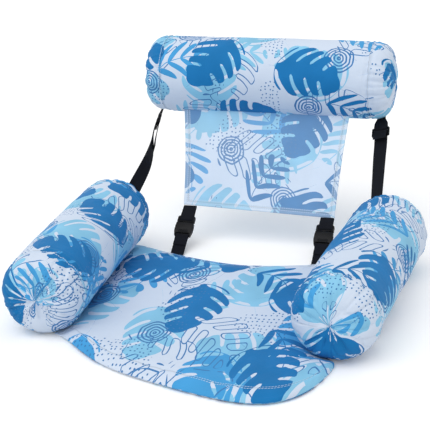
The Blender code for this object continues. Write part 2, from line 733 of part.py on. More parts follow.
def buckle_plug(side, place):
    """The half that stays with the panel: two strap bars and a fixed middle guide."""
    low, high = PLUG_LOW, PLUG_HIGH
    wide, slot = BUCKLE_HALF_WIDTH - BUCKLE_EDGE, WEB_SLOT_HALF_WIDTH
    guide = GUIDE_HALF_WIDTH
    right = [(guide, PRONG_TIP_Y), (guide, low), (wide, low), (wide, high - SLIDER_END_RADIUS),
             (wide - SLIDER_END_RADIUS, high)]
    plug = plate(side + "_buckle_plug", mirrored(right), BUCKLE_HALF_DEPTH - PLUG_THINNER, place, BUCKLE_EDGE)
    for sign in (-1, 1):
        near, far = sorted((sign * (SOCKET_HOLLOW_HALF_DEPTH - SEAT_GAP), sign * 2 * BUCKLE_HALF_DEPTH))
        cut(plug, box(side + "_guide_relief", (-2 * guide, 0, near), (2 * guide, low, far), place))
        near, far = sorted((sign * BAR_RADIUS, sign * 2 * BUCKLE_HALF_DEPTH))
        cut(plug, box(side + "_bar_relief", (-slot, low + STRAP_SLOT_HEIGHT, near),
                      (slot, high + CUT_OVERRUN, far), place))
    for start in (FIRST_SLOT, SECOND_SLOT):
        cut(plug, box(side + "_plug_slot", (-slot, start, -2 * BUCKLE_HALF_DEPTH),
                      (slot, start + STRAP_SLOT_HEIGHT, 2 * BUCKLE_HALF_DEPTH), place))
    return plug


def prong_pivot(sign, which_sign):
    """The place of a prong's round root, about which it is squeezed inwards."""
    return buckle_place(sign) @ Matrix.Translation((which_sign * PRONG_ROOT_X, PRONG_ROOT_Y, 0))


def prong(name, place, which_sign):
    """A sprung release prong: a round root, a slim arm and a head that shows in the window."""
    half = PRONG_ROOT_RADIUS
    shoulder = WINDOW_HIGH - PRONG_SHOULDER_PLAY - PRONG_ROOT_Y
    tip = PRONG_TIP_Y - PRONG_ROOT_Y
    head = BUCKLE_HALF_WIDTH - PRONG_HEAD_INSET - PRONG_ROOT_X
    outline = []
    for i in range(PRONG_STEPS + 1):
        turn = math.pi * i / PRONG_STEPS
        outline.append((half * math.cos(turn), half * math.sin(turn)))
    outline += [(-half, shoulder), (-half, tip + half), (0, tip), (2 * half, tip), (head, tip + 2 * half),
                (head, shoulder - half), (head - half, shoulder), (half, shoulder)]
    outline = [(which_sign * x, y) for x, y in outline]
    depth = SOCKET_HOLLOW_HALF_DEPTH - PRONG_SIDE_PLAY
    return plate(name, outline, depth, place, BUCKLE_EDGE / 2)


def lower_strap(side):
    """Strap from the hinge line to the socket, the buckle and the panel's loop."""
    sign = SIDES[side]
    low = hinge_point(sign)
    along = lower_along()
    out = RIGHT.cross(along)
    place = buckle_place(sign)

    bar = low + along * BUCKLE_START
    bend = half_turn(bar, along, out)
    end = WEB_THICKNESS / 2
    back = [low - along * end, low - along * end / 2, low,
            bar - along * (LOWER_LOOP_LENGTH + WEB_THICKNESS), bar - along * LOWER_LOOP_LENGTH / 3,
            bend[0] - along * BAR_RADIUS * 2]
    front = [bend[-1] - along * BAR_RADIUS * 2,
             bar - along * LOWER_LOOP_LENGTH / 3 + out * (WEB_THICKNESS * 2 - end),
             bar - along * LOWER_LOOP_LENGTH + out * (WEB_THICKNESS + SEAT_GAP)]
    centres = back + bend + front
    count = len(centres)
    thicknesses = [WEB_THICKNESS / 3, WEB_THICKNESS * 2 / 3] + [WEB_THICKNESS] * (count - 2)
    ribbon(side + "_lower_strap", centres, [RIGHT] * count, [WEB_WIDTH] * count, thicknesses)

    buckle_socket(side, place)
    buckle_plug(side, place)
    for which, which_sign in SIDES.items():
        prong(side + "_buckle_prong_" + which, prong_pivot(sign, which_sign), which_sign)

    bar = bar + along * MIDDLE_BAR
    root = low + along * (LOWER_RUN - PANEL_HEM / 2 - SEAT_GAP)
    clear = bar + along * (PLUG_HIGH - MIDDLE_BAR + FOLD_RADIUS / 2)
    doubled(side + "_panel_loop", [root, root - along * WEB_THICKNESS, clear, bar], RIGHT,
            [WEB_WIDTH] * 3, along)


# Back panel

def back_panel(bolster_trimmer):
    """The hanging cloth: sewn under the bolster, with soft upright folds and a hemmed foot."""
    forward = BOLSTER_DIAMETER / 2 * math.sin(PANEL_TOP_TURN)
    below = BOLSTER_DIAMETER / 2 * math.cos(PANEL_TOP_TURN)
    top = Vector((0, BOLSTER_Y - forward, BOLSTER_Z - below))
    foot = hinge_point(0) + lower_along() * LOWER_RUN
    hang = (foot - top).normalized()
    face = RIGHT.cross(-hang)
    start = top - hang * (COVER_WALL + GATHER_DEPTH)
    length = (foot - start).length
    bm = bmesh.new()
    grid = {}
    for i in range(PANEL_COLUMNS + 1):
        for j in range(PANEL_ROWS + 1):
            share = 2 * i / PANEL_COLUMNS - 1
            down = 1 - (1 - j / PANEL_ROWS) ** PANEL_CROWDING_SHARE
            half = PANEL_TOP_HALF_WIDTH + (PANEL_BOTTOM_HALF_WIDTH - PANEL_TOP_HALF_WIDTH) * down
            fold = PANEL_FOLD * math.sin(math.pi * PANEL_FOLDS * share) * math.sin(math.pi * down)
            hem = smooth((1 - down) * length / PANEL_HEM_WIDTH - 0.5)
            thick = PANEL_HEM + (PANEL_THICKNESS - PANEL_HEM) * hem
            centre = start + hang * length * down + RIGHT * half * share + face * fold
            grid[i, j, 1] = bm.verts.new(centre + face * thick / 2)
            grid[i, j, 0] = bm.verts.new(centre - face * thick / 2)
    for i in range(PANEL_COLUMNS):
        for j in range(PANEL_ROWS):
            for side in (0, 1):
                bm.faces.new([grid[i + a, j + b, side] for a, b in ((0, 0), (1, 0), (1, 1), (0, 1))])
    for i in range(PANEL_COLUMNS):
        for j in (0, PANEL_ROWS):
            bm.faces.new([grid[i, j, 0], grid[i + 1, j, 0], grid[i + 1, j, 1], grid[i, j, 1]])
    for j in range(PANEL_ROWS):
        for i in (0, PANEL_COLUMNS):
            bm.faces.new([grid[i, j, 0], grid[i, j + 1, 0], grid[i, j + 1, 1], grid[i, j, 1]])
    panel = finish("back_panel", bm, SHEER_CLOTH)
    cut(panel, bolster_trimmer)
    return panel


def carry(name, pivot, items):
    """Parent items to an empty that stands on their hinge line."""
    carrier = bpy.data.objects.new(name, None)
    bpy.context.scene.collection.objects.link(carrier)
    carrier.location = pivot
    for item in items:
        item.parent = carrier
        item.matrix_parent_inverse = Matrix.Translation(-pivot)


def main():
    """Build the whole chair: first what stands on the floor, then what turns with the backrest."""
    clear_scene()
    arms = {side: arm_tube(sign) for side, sign in SIDES.items()}
    arm_trimmers = {side: arm.trimmer(side + "_arm_trimmer") for side, arm in arms.items()}
    seat_panel(arm_trimmers.values())
    for side, arm in arms.items():
        arm.complete(side + "_arm", True)
        hem_tail(side)
    standing = list(bpy.data.objects)

    bolster = bolster_tube()
    bolster_trimmer = bolster.trimmer("bolster_trimmer")
    bolster.complete("backrest", False)
    back_panel(bolster_trimmer)
    for side, sign in SIDES.items():
        line = side_line(sign, bolster, arms[side])
        side_strap(side, line, bolster_trimmer, arm_trimmers[side])
        lower_strap(side)
    turning = [item for item in bpy.data.objects if item not in standing]
    carry("backrest_hinge", hinge_point(0), turning)


main()
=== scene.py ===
"""The dressed pool chair: printed covers, padded seat, sheer back panel, webbing, buckles and valves.

It is laid out as a Blender add-on and is run as a script. Everything is in metres, in the CAD frame.
"""
import json
import math
import random

import bmesh
import bpy
import numpy as np
from bpy.props import FloatProperty, FloatVectorProperty, PointerProperty
from bpy.types import Operator, Panel, PropertyGroup
from mathutils import Matrix, Vector, noise

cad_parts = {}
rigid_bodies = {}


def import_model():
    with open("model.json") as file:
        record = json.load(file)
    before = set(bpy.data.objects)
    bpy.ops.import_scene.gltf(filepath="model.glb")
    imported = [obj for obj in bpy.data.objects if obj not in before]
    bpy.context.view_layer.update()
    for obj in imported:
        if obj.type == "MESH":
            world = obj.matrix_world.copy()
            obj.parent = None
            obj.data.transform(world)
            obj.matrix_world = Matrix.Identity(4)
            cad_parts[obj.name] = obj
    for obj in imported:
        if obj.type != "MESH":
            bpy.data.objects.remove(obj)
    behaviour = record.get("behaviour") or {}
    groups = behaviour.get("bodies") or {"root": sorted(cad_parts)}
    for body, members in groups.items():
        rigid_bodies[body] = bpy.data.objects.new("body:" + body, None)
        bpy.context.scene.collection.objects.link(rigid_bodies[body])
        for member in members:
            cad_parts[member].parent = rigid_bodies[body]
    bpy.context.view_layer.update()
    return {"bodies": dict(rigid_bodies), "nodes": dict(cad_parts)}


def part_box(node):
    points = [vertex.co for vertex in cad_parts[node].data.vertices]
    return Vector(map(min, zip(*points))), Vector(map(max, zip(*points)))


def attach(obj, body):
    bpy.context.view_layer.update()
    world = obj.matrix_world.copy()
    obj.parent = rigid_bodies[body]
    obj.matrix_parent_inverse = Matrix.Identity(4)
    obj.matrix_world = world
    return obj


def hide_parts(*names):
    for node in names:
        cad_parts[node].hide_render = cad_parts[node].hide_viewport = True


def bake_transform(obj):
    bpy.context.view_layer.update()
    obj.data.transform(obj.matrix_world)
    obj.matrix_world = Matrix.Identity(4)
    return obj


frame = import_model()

bl_info = {
    "name": "Inflatable Pool Chair",
    "version": (1, 0, 0),
    "blender": (4, 5, 0),
    "location": "3D View > Sidebar > Pool Chair",
    "description": "Dresses an inflatable pool chair in printed cloth, webbing and moulded buckles",
    "category": "Add Mesh",
}

ARM_LOW, ARM_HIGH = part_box("left_arm_cover")

UP = Vector((0, 0, 1))
RIGHT = Vector((1, 0, 0))
SIDES = {"left": -1, "right": 1}

# Fixed sizes and places in metres, most of which the CAD source also holds
FLOOR_FLAT = 0.0005
ARM_CORNER = 0.045
ARM_DOME = 0.006
ARM_MIDDLE_Y = 0.034
SEAT_CORNER_Y = -0.200
HEM_WIDTH = 0.012
BACKREST_CORNER = 0.040
BACKREST_DOME = 0.008
BACKREST_MIDDLE = Vector((0, 0.490, 0.348))
PORT_RADIUS = 0.0115
HINGE = Vector((0, 0.249036, 0.003))
STRAP_X = 0.157
STRAP_WAY = Vector((0, math.cos(math.radians(33.5)), math.sin(math.radians(33.5))))
STRAP_RUN = 0.1301
BAR_RADIUS = 0.0015
FOLD_RADIUS = 0.003221
BUCKLE_START = 0.050
MIDDLE_BAR = 0.0433
PLUG_HIGH = 0.0527
SLIDER_SPACING = 0.0085
PANEL_TILT = 0.005
FLOOR_CLEAR = 0.0002
SEAM_INSET = 0.0025
STITCH_ROW = 0.0026
FRONT_HEM = 0.034
SEAT_RISE = 0.048
SEAT_ROLL = 0.030
SEAT_LEAST = 0.0016
SEAT_CELLS = (116, 104)
PANEL_CELLS = (150, 90)
PANEL_LEAN = math.radians(34)
PANEL_HALF_TOP = 0.1885
PANEL_HALF_FOOT = 0.1720
TUBE_SIDES = 96
CLOTH_FRAMES = 20
SLIDER_DROP = 0.031
LENS = 110.75
CAMERA_AWAY = 2.56

# The seat's print is larger than the tubes', and drawn out from front to rear
SEAT_PRINT = (1.0, 0.62)
PRINT = "Leaf and ripple print"


def linear(code):
    """Linear red, green and blue of an sRGB hex colour."""
    values = [int(code[place:place + 2], 16) / 255 for place in (1, 3, 5)]
    return tuple(v / 12.92 if v <= 0.04045 else ((v + 0.055) / 1.055) ** 2.4 for v in values)


def smooth(share):
    """A smooth rise from 0 to 1, for numbers and arrays."""
    share = np.clip(share, 0.0, 1.0)
    return share * share * (3 - 2 * share)


def set_up(item, **values):
    """Set properties of one item."""
    for name, value in values.items():
        setattr(item, name, value)
    return item


# Sizes and colours that a user would change

def length_property(name, description, default):
    """A length in metres."""
    return FloatProperty(name=name, description=description, default=default, unit="LENGTH")


def colour_property(name, description, code):
    """A colour, given by its sRGB hex code."""
    return FloatVectorProperty(
        name=name, description=description, default=linear(code), subtype="COLOR", size=3, min=0, max=1)


class PoolChairSizes(PropertyGroup):
    """Sizes of the chair's cloth and webbing."""

    arm_diameter: length_property(
        "Armrest diameter", "Across one blown-up armrest", ARM_HIGH[2] - ARM_LOW[2] + FLOOR_FLAT)
    arm_length: length_property("Armrest length", "From end to end of one armrest", 0.540)
    arm_spacing: length_property("Armrest spacing", "Between the armrests' middles", 0.584)
    arm_toe_in: FloatProperty(
        name="Armrest toe-in", description="How far each armrest turns in at the front",
        default=math.radians(3.0), subtype="ANGLE", unit="ROTATION")
    backrest_diameter: length_property("Backrest diameter", "Across the blown-up backrest tube", 0.170)
    backrest_length: length_property("Backrest length", "From end to end of the backrest tube", 0.566)
    gather_depth: length_property("Gather depth", "How deep the puckers of the gathered ends are", 0.0075)
    seat_thickness: length_property("Seat thickness", "Thickness of the padded seat", 0.0165)
    seat_reach: length_property("Seat reach", "How far the front hem bulges past its corners", 0.166)
    panel_fold: length_property("Panel fold", "Depth of the back panel's upright folds", 0.0045)
    web_width: length_property("Webbing width", "Width of all the straps", 0.030)
    web_thickness: length_property("Webbing thickness", "Thickness of all the straps", 0.0016)


class PoolChairColours(PropertyGroup):
    """Colours of the chair's cloth, webbing and fittings."""

    ground: colour_property("Cloth ground", "Unprinted cloth", "#D2DFF1")
    sky: colour_property("Sky blue", "Palest leaves of the print", "#86C4E4")
    middle: colour_property("Middle blue", "Sprigs of the print", "#3F9BD6")
    deep: colour_property("Deep blue", "Broad leaves of the print", "#0072B2")
    ink: colour_property("Line blue", "Thin lines of the print", "#3A79B4")
    webbing: colour_property("Webbing", "Woven straps", "#15171F")
    acetal: colour_property("Buckles", "Moulded buckles and sliders", "#090A0E")
    floor: colour_property("Floor", "Studio floor", "#F4F4F4")


def chair():
    """The sizes that the scene holds."""
    return bpy.context.scene.pool_chair_sizes


# Materials

class Value:
    """One output of a node; sums with it add further nodes to its tree."""

    def __init__(self, node, output=0):
        self.node = node
        self.tree = node.id_data
        self.socket = node.outputs[output]

    def __getitem__(self, output):
        return Value(self.node, output)

    def math(self, operation, *others):
        """A sum with numbers."""
        return add(self.tree, "Math", self, *others, operation=operation)

    def vector(self, operation, *others):
        """A sum with vectors."""
        return add(self.tree, "VectorMath", self, *others, operation=operation)

    def spread(self, *limits, kind="LINEAR"):
        """The value taken from one range to another: from, to, new from, new to."""
        return add(self.tree, "MapRange", self, *limits, interpolation_type=kind)

    def zigzag(self):
        """A value that runs from 0 to 1 and back."""
        return self.math("PINGPONG", 1.0)

    def __add__(self, other):
        return self.math("ADD", other)

    def __sub__(self, other):
        return self.math("SUBTRACT", other)

    def __rsub__(self, other):
        return add(self.tree, "Math", other, self, operation="SUBTRACT")

    def __mul__(self, other):
        return self.math("MULTIPLY", other)

    def __truediv__(self, other):
        return self.math("DIVIDE", other)

    def __abs__(self):
        return self.math("ABSOLUTE")


def put(value, socket):
    """Link a value to a socket, or set the socket to a constant; None leaves it alone."""
    if isinstance(value, Value):
        value.tree.links.new(value.socket, socket)
    elif value is not None:
        socket.default_value = value


def add(tree, kind, *inputs, **settings):
    """Add a node, set it up, and link or set its inputs in order."""
    made = set_up(tree.nodes.new("ShaderNode" + kind), **settings)
    for place, value in enumerate(inputs):
        put(value, made.inputs[place])
    return Value(made)


def wire(node, **values):
    """Link or set a node's inputs by name."""
    for name, value in values.items():
        put(value, node.inputs[name.replace("_", " ")])


def new_material(name, **values):
    """A material with one Principled shader whose plain values are set on its own sockets."""
    made = bpy.data.materials.new(name)
    made.use_nodes = True
    shader = made.node_tree.nodes["Principled BSDF"]
    wire(shader, **values)
    return made, made.node_tree, shader


def tint(colour, share=1.0, lift=0.0):
    """An opaque colour made darker or lighter."""
    return (*(min(1.0, share * value + lift) for value in colour), 1.0)


def cells(cloth, size, turn, seed):
    """Places in staggered cells, each turned and moved at random, and a chance from 0 to 1 per cell."""
    tree = cloth.tree
    turned = add(tree, "VectorRotate", cloth, None, None, turn, rotation_type="Z_AXIS")
    scaled = turned.vector("MULTIPLY_ADD", (1 / size,) * 3, (seed * 7.3, seed * 3.1, 0))
    parts = add(tree, "SeparateXYZ", scaled)
    odd = parts[1].math("FLOOR").math("FLOORED_MODULO", 2.0)
    placed = add(tree, "CombineXYZ", odd.math("MULTIPLY_ADD", 0.5, parts[0]), parts[1], 0.0)
    cell = placed.vector("FLOOR")
    drawn = add(tree, "TexWhiteNoise", cell, seed * 1.7, noise_dimensions="4D")
    chance = add(tree, "TexWhiteNoise", cell, seed * 2.9 + 5.0, noise_dimensions="4D")
    drift = drawn["Color"].vector("MULTIPLY_ADD", (0.22, 0.22, 0.0), (-0.61, -0.61, 0.0))
    centred = placed.vector("SUBTRACT", cell).vector("ADD", drift)
    angle = drawn["Value"] * (2 * math.pi)
    spun = add(tree, "VectorRotate", centred, None, None, angle, rotation_type="Z_AXIS")
    return spun.vector("MULTIPLY", (size, size, 0.0)), chance["Value"]


def curved(place, radius, bend):
    """Distance from a bent midrib, height along it and the arch's half width, as shares of the radius."""
    parts = add(place.tree, "SeparateXYZ", place.vector("MULTIPLY", (1 / radius,) * 3))
    squared = parts[1] * parts[1]
    side = abs(squared.math("MULTIPLY_ADD", -bend, parts[0]) + 0.3 * bend)
    return side, parts[1], (1.0 - squared).math("SQRT")


def split_leaf(place, radius, slits, gape):
    """How far inside a broad leaf a point lies, in metres; its sides are slit towards its midrib."""
    side, height, arch = curved(place, radius, 0.16)
    width = (arch * height.math("MULTIPLY_ADD", -0.26, 0.78)).math("MAXIMUM", 0.002)
    reach = side / width
    slant = (side * side).math("MULTIPLY_ADD", -0.80, height)
    from_slit = slant.math("MULTIPLY_ADD", slits, 0.35).zigzag()
    opening = reach.spread(0.20, 0.36, -0.14, 0.12 + gape, kind="SMOOTHSTEP")
    opening = opening + reach.spread(0.36, 1.0, 0.0, 0.15)
    lobe = ((from_slit - opening) * (0.85 / slits)).math("MAXIMUM", height - 0.66)
    rounding = from_slit.spread(0.0, 0.75, 0.86, 1.0, kind="SMOOTHSTEP")
    return lobe.math("MINIMUM", (rounding - reach) * width) * radius


def filled_leaf(place, radius):
    """Mask of a whole leaf."""
    return split_leaf(place, radius, 4.7, 0.10).math("GREATER_THAN", 0.0)


def drawn_leaf(place, radius, line):
    """Mask of a thin line round a leaf."""
    return split_leaf(place, radius, 4.2, 0.16).math("COMPARE", 0.0, line)


def looped_frond(place, radius, finger, line):
    """Mask of a thin line round long fingers that stand in pairs along a bent stem."""
    side, height, arch = curved(place, radius, 0.25)
    blade = (side.math("MULTIPLY_ADD", -0.62, height) * 5.0).zigzag()
    past = (0.17 - side).math("MAXIMUM", side - arch * 0.62).math("MAXIMUM", 0.0)
    apart = add(place.tree, "CombineXYZ", blade * (0.85 * radius / 5.0), past * (1.15 * radius), 0.0)
    return apart.vector("LENGTH")["Value"].math("COMPARE", finger, line)


def sprig(place, radius):
    """Mask of a bent stem with pairs of slim leaves."""
    side, height, arch = curved(place, radius, 0.30)
    reach = side / arch.math("MULTIPLY_ADD", 0.72, 0.002)
    blade = (side.math("MULTIPLY_ADD", -0.85, height) * 4.6).zigzag()
    fullness = (reach * (1.0 - reach)).math("SQRT") * 1.10
    stem = side.math("LESS_THAN", 0.016).math("MINIMUM", arch.math("GREATER_THAN", 0.35))
    return blade.math("LESS_THAN", fullness).math("MAXIMUM", stem)


def ripple(place, radius, spacing):
    """Mask of wavering rings, one inside the other."""
    waver = add(place.tree, "TexNoise", place, None, 48.0, 1.0, 0.5)
    distance = waver.math("MULTIPLY_ADD", 0.007, place.vector("LENGTH")["Value"])
    ring = (distance * (2 / spacing)).zigzag().math("LESS_THAN", 0.48)
    return ring.math("MINIMUM", distance.math("LESS_THAN", radius))


def leaf_print():
    """Node group that draws the whole print from a cloth map in metres."""
    colours = bpy.context.scene.pool_chair_colours
    group = bpy.data.node_groups.new(PRINT, "ShaderNodeTree")
    group.interface.new_socket("Cloth", in_out="INPUT", socket_type="NodeSocketVector")
    group.interface.new_socket("Color", in_out="OUTPUT", socket_type="NodeSocketColor")
    flat = Value(group.nodes.new("NodeGroupInput"))
    wobble = add(group, "TexNoise", flat, None, 14.0, 1.0, 0.5)
    larger = flat.vector("MULTIPLY", (0.87, 0.87, 0.0))
    cloth = wobble["Color"].vector("MULTIPLY_ADD", (0.012, 0.012, 0.0), larger)

    # kind, cell, grid turn, seed, sizes, share of cells filled, colour
    layers = [
        (filled_leaf, 0.158, 0.35, 1, (0.066,), 0.85, colours.sky),
        (sprig, 0.140, 1.70, 12, (0.055,), 0.60, colours.sky),
        (filled_leaf, 0.190, 1.20, 7, (0.060,), 0.52, colours.middle),
        (looped_frond, 0.165, 2.05, 9, (0.068, 0.0068, 0.0010), 0.70, colours.ink),
        (drawn_leaf, 0.175, 0.80, 23, (0.066, 0.0010), 0.45, colours.ink),
        (sprig, 0.165, 2.40, 19, (0.058,), 0.60, colours.middle),
        (ripple, 0.140, 0.60, 3, (0.0330, 0.0058), 0.75, colours.ink),
        (filled_leaf, 0.160, 2.75, 17, (0.064,), 0.76, colours.deep),
        (sprig, 0.175, 0.10, 31, (0.054,), 0.50, colours.deep),
    ]
    shade = add(group, "TexNoise", flat, None, 16.0, 1.0, 0.5)
    below = tint(colours.ground)
    for motif, size, turn, seed, sizes, share, colour in layers:
        place, chance = cells(cloth, size, turn, seed)
        mask = motif(place, *sizes).math("MINIMUM", chance.math("LESS_THAN", share))
        tone = add(group, "MixRGB", shade, tint(colour, 0.86), tint(colour, 1.22, 0.01))
        below = add(group, "MixRGB", mask, below, tone)

    # Small dots in drifts
    dots = cloth.vector("MULTIPLY", (125.0, 125.0, 0.0))
    moved = add(group, "TexWhiteNoise", dots.vector("FLOOR"), noise_dimensions="2D")["Color"]
    moved = moved.vector("MULTIPLY_ADD", (0.5, 0.5, 0.0), (0.25, 0.25, 0.0))
    dot = dots.vector("FRACTION").vector("DISTANCE", moved)["Value"].math("LESS_THAN", 0.18)
    drift = add(group, "TexNoise", cloth, None, 11.0, 0.0, 0.5).math("GREATER_THAN", 0.63)
    printed = add(group, "MixRGB", dot.math("MINIMUM", drift), below, tint(colours.ink))
    put(printed, group.nodes.new("NodeGroupOutput").inputs[0])
    return group


def printed_cloth(name, paler, painted_light_gain, roughness):
    """Woven polyester printed by heat transfer: matt, flat colours, faint threads and rows of stitches, with
    painted shade along each seam and, where the gain is above 1, painted light that lifts the whole colour.
    """
    made, tree, shader = new_material(
        name, Roughness=roughness, Specular_IOR_Level=0.22, Sheen_Weight=0.04, Sheen_Roughness=0.5)
    cloth = add(tree, "UVMap", uv_map="ClothMap")
    drawing = add(tree, "Group", cloth, node_tree=bpy.data.node_groups.get(PRINT) or leaf_print())
    # Threads are drawn 1.2 mm apart, four times the real spacing, so that they show at all
    warp = add(tree, "TexWave", cloth, 133.0, wave_type="BANDS", bands_direction="X")
    weft = add(tree, "TexWave", cloth, 133.0, wave_type="BANDS", bands_direction="Y")
    threads = warp[1] * weft[1]
    creases = add(tree, "TexNoise", cloth, None, 38.0, 2.0, 0.5, None, 0.8)
    seam = add(tree, "SeparateXYZ", add(tree, "Attribute", attribute_name="Seam")["Vector"])
    faded = seam[2].math("MULTIPLY_ADD", 0.16, paler)
    fade = add(tree, "MixRGB", faded, drawing, tint(linear("#F0F9F9")))
    # A gain above 1 lifts the whole colour as painted light; on the sheer panel it stands in for light
    # shining through the cloth
    grain = threads.spread(0.0, 1.0, 0.955 * painted_light_gain, painted_light_gain) * seam[2].spread(-1.0, 0.0, 0.80, 1.0)
    # Stitches 5 mm long, twice the real ones, in two rows on either side of each seam
    away = abs(seam[1])
    stitch = (seam[0] * (2 / 0.005)).zigzag().math("LESS_THAN", 0.72)
    thread = away.math("COMPARE", STITCH_ROW, 0.0006).math("MINIMUM", stitch)
    # Painted shade: the colour darkens to 74% within 1.8 mm of each seam line, where the cloth turns in at
    # the seam
    fold = away.spread(0.0, 0.0018, 0.74, 1.0, kind="SMOOTHSTEP")
    colour = fade.vector("MULTIPLY", grain).vector("MULTIPLY", fold)
    colour = add(tree, "MixRGB", thread, colour, tint(linear("#C4D6EA")))
    fine = add(tree, "Bump", 0.25, 0.0003, None, threads)
    raised = add(tree, "Bump", 0.5, 0.0006, None, thread, fine)
    soft = add(tree, "Bump", 0.55, 0.0030, None, creases, raised)
    wire(shader, Base_Color=colour, Normal=soft)
    return made


def woven_webbing(name):
    """Polypropylene webbing: matt near-black, with slanting ribs across it and a firm selvedge; its ribs
    carry painted shade and painted highlight.
    """
    made, tree, shader = new_material(name, Roughness=0.80, Specular_IOR_Level=0.12, Sheen_Weight=0.03)
    parts = add(tree, "SeparateXYZ", add(tree, "UVMap", uv_map="ClothMap"))
    # Ribs 2.2 mm apart, slanted both ways from the middle as in a herringbone weave
    slant = abs(parts[0]).math("MULTIPLY_ADD", 0.8, parts[1])
    height = (slant * (2 / 0.0022)).zigzag() * (parts[0] * (2 / 0.0015)).zigzag()
    base = bpy.context.scene.pool_chair_colours.webbing
    # Painted shade in the hollows between the ribs and painted highlight on their crests: the colour runs
    # from 0.55 to 1.5 times the webbing's colour with the weave's height
    tone = add(tree, "MixRGB", height, tint(base, 0.55), tint(base, 1.5))
    wire(shader, Base_Color=tone, Normal=add(tree, "Bump", 0.6, 0.0004, None, height))
    return made


def moulded_acetal(name):
    """Injection-moulded acetal: near-black and satin, with a faint spark-eroded grain."""
    made, tree, shader = new_material(name, Roughness=0.28, Specular_IOR_Level=0.16)
    here = add(tree, "TexCoord")["Object"]
    grain = add(tree, "TexNoise", here, None, 1800.0, 2.0, 0.6)
    broad = add(tree, "TexNoise", here, None, 90.0, 1.0, 0.5)
    base = bpy.context.scene.pool_chair_colours.acetal
    tone = add(tree, "MixRGB", broad, tint(base, 0.85), tint(base, 1.25))
    bump = add(tree, "Bump", 0.25, 0.00006, None, grain)
    wire(shader, Base_Color=tone, Roughness=grain.spread(0.0, 1.0, 0.18, 0.34), Normal=bump)
    return made


def soft_vinyl(name, colour, roughness, transmission):
    """Flexible PVC: smooth and a little waxy, faintly clouded by handling."""
    made, tree, shader = new_material(name, Roughness=roughness, IOR=1.53, Transmission_Weight=transmission)
    cloud = add(tree, "TexNoise", add(tree, "TexCoord")["Object"], None, 60.0, 3.0, 0.5)
    tone = add(tree, "MixRGB", cloud, tint(colour, 0.88), tint(colour))
    gloss = cloud.spread(0.3, 0.7, roughness * 0.8, roughness * 1.25)
    wire(shader, Base_Color=tone, Roughness=gloss, Normal=add(tree, "Bump", 0.2, 0.0002, None, cloud))
    return made


def the_material(name, maker, *values):
    """The named material, made the first time that it is asked for."""
    return bpy.data.materials.get(name) or maker(name, *values)


def cover_cloth():
    """The cloth of the covers and the seat."""
    return the_material("Printed woven polyester", printed_cloth, 0.0, 1.0, 0.72)


# Meshes

def in_scene(name, data):
    """An object that holds the data, linked into the scene."""
    made = bpy.data.objects.new(name, data)
    bpy.context.scene.collection.objects.link(made)
    return made


def new_piece(name, points, faces, cloth_map, material):
    """A mesh object at the origin, with its cloth map in metres."""
    mesh = bpy.data.meshes.new(name)
    mesh.from_pydata([tuple(point) for point in points], [], faces)
    if cloth_map is not None:
        layer = mesh.uv_layers.new(name="ClothMap")
        layer.data.foreach_set("uv", np.asarray(cloth_map, dtype=np.float32).ravel())
    mesh.materials.append(material)
    mesh.shade_smooth()
    return in_scene(name, mesh)


def stands_for(piece, body, node):
    """Say which body a piece rides and which CAD node it replaces."""
    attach(piece, body)
    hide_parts(node)


def sewn(piece, along, away, doubled_share=0.0):
    """Tell the cloth where its seam runs: metres along it and away from it, and where it lies double."""
    seam = piece.data.attributes.new("Seam", "FLOAT_VECTOR", "POINT")
    values = np.stack((along, away, doubled_share + 0 * along), axis=-1).astype(np.float32)
    seam.data.foreach_set("vector", values.ravel())


def outward(piece):
    """Turn a closed mesh's faces outwards."""
    work = bmesh.new()
    work.from_mesh(piece.data)
    bmesh.ops.recalc_face_normals(work, faces=work.faces)
    work.to_mesh(piece.data)
    work.free()


def away_from(piece, middle):
    """Turn all faces round if one of them points at the middle."""
    face = piece.data.polygons[len(piece.data.polygons) // 2]
    if face.normal.dot(face.center - middle) < 0:
        piece.data.flip_normals()


def coordinates(mesh):
    """A mesh's vertices as an array."""
    values = np.empty(len(mesh.vertices) * 3)
    mesh.vertices.foreach_get("co", values)
    return values.reshape(-1, 3)


def above_floor(piece):
    """Lift what has sunk into the floor."""
    points = coordinates(piece.data)
    points[:, 2] = np.maximum(points[:, 2], FLOOR_CLEAR)
    piece.data.vertices.foreach_set("co", points.ravel())


def carried(points, place):
    """Points carried from a frame of their own to a place."""
    matrix = np.array(place)
    return points @ matrix[:3, :3].T + matrix[:3, 3]


def quads(number):
    """Faces between neighbours in a table of point numbers."""
    corners = (number[:-1, :-1], number[1:, :-1], number[1:, 1:], number[:-1, 1:])
    return np.stack(corners, axis=-1).reshape(-1, 4)


def bands(rings, sides):
    """Faces between closed rings of points."""
    return [(j * sides + i, j * sides + (i + 1) % sides, (j + 1) * sides + (i + 1) % sides,
             (j + 1) * sides + i) for j in range(rings - 1) for i in range(sides)]


def lathe(reach, height, turns, pole):
    """Rings of points about Z, then one point at the first ring's middle, and the faces of them all."""
    points = np.stack((reach * np.cos(turns), reach * np.sin(turns), height), axis=2).reshape(-1, 3)
    sides = len(turns)
    faces = bands(len(reach), sides) + [(len(points), (i + 1) % sides, i) for i in range(sides)]
    return np.vstack((points, ((0, 0, pole),))), faces


def pick(piece):
    """Make a piece the only selected one."""
    bpy.ops.object.select_all(action="DESELECT")
    bpy.context.view_layer.objects.active = piece
    piece.select_set(True)


def modify(piece, kind, **settings):
    """Give a piece a modifier and apply it."""
    step = set_up(piece.modifiers.new("Step", kind), **settings)
    pick(piece)
    bpy.ops.object.modifier_apply(modifier=step.name)


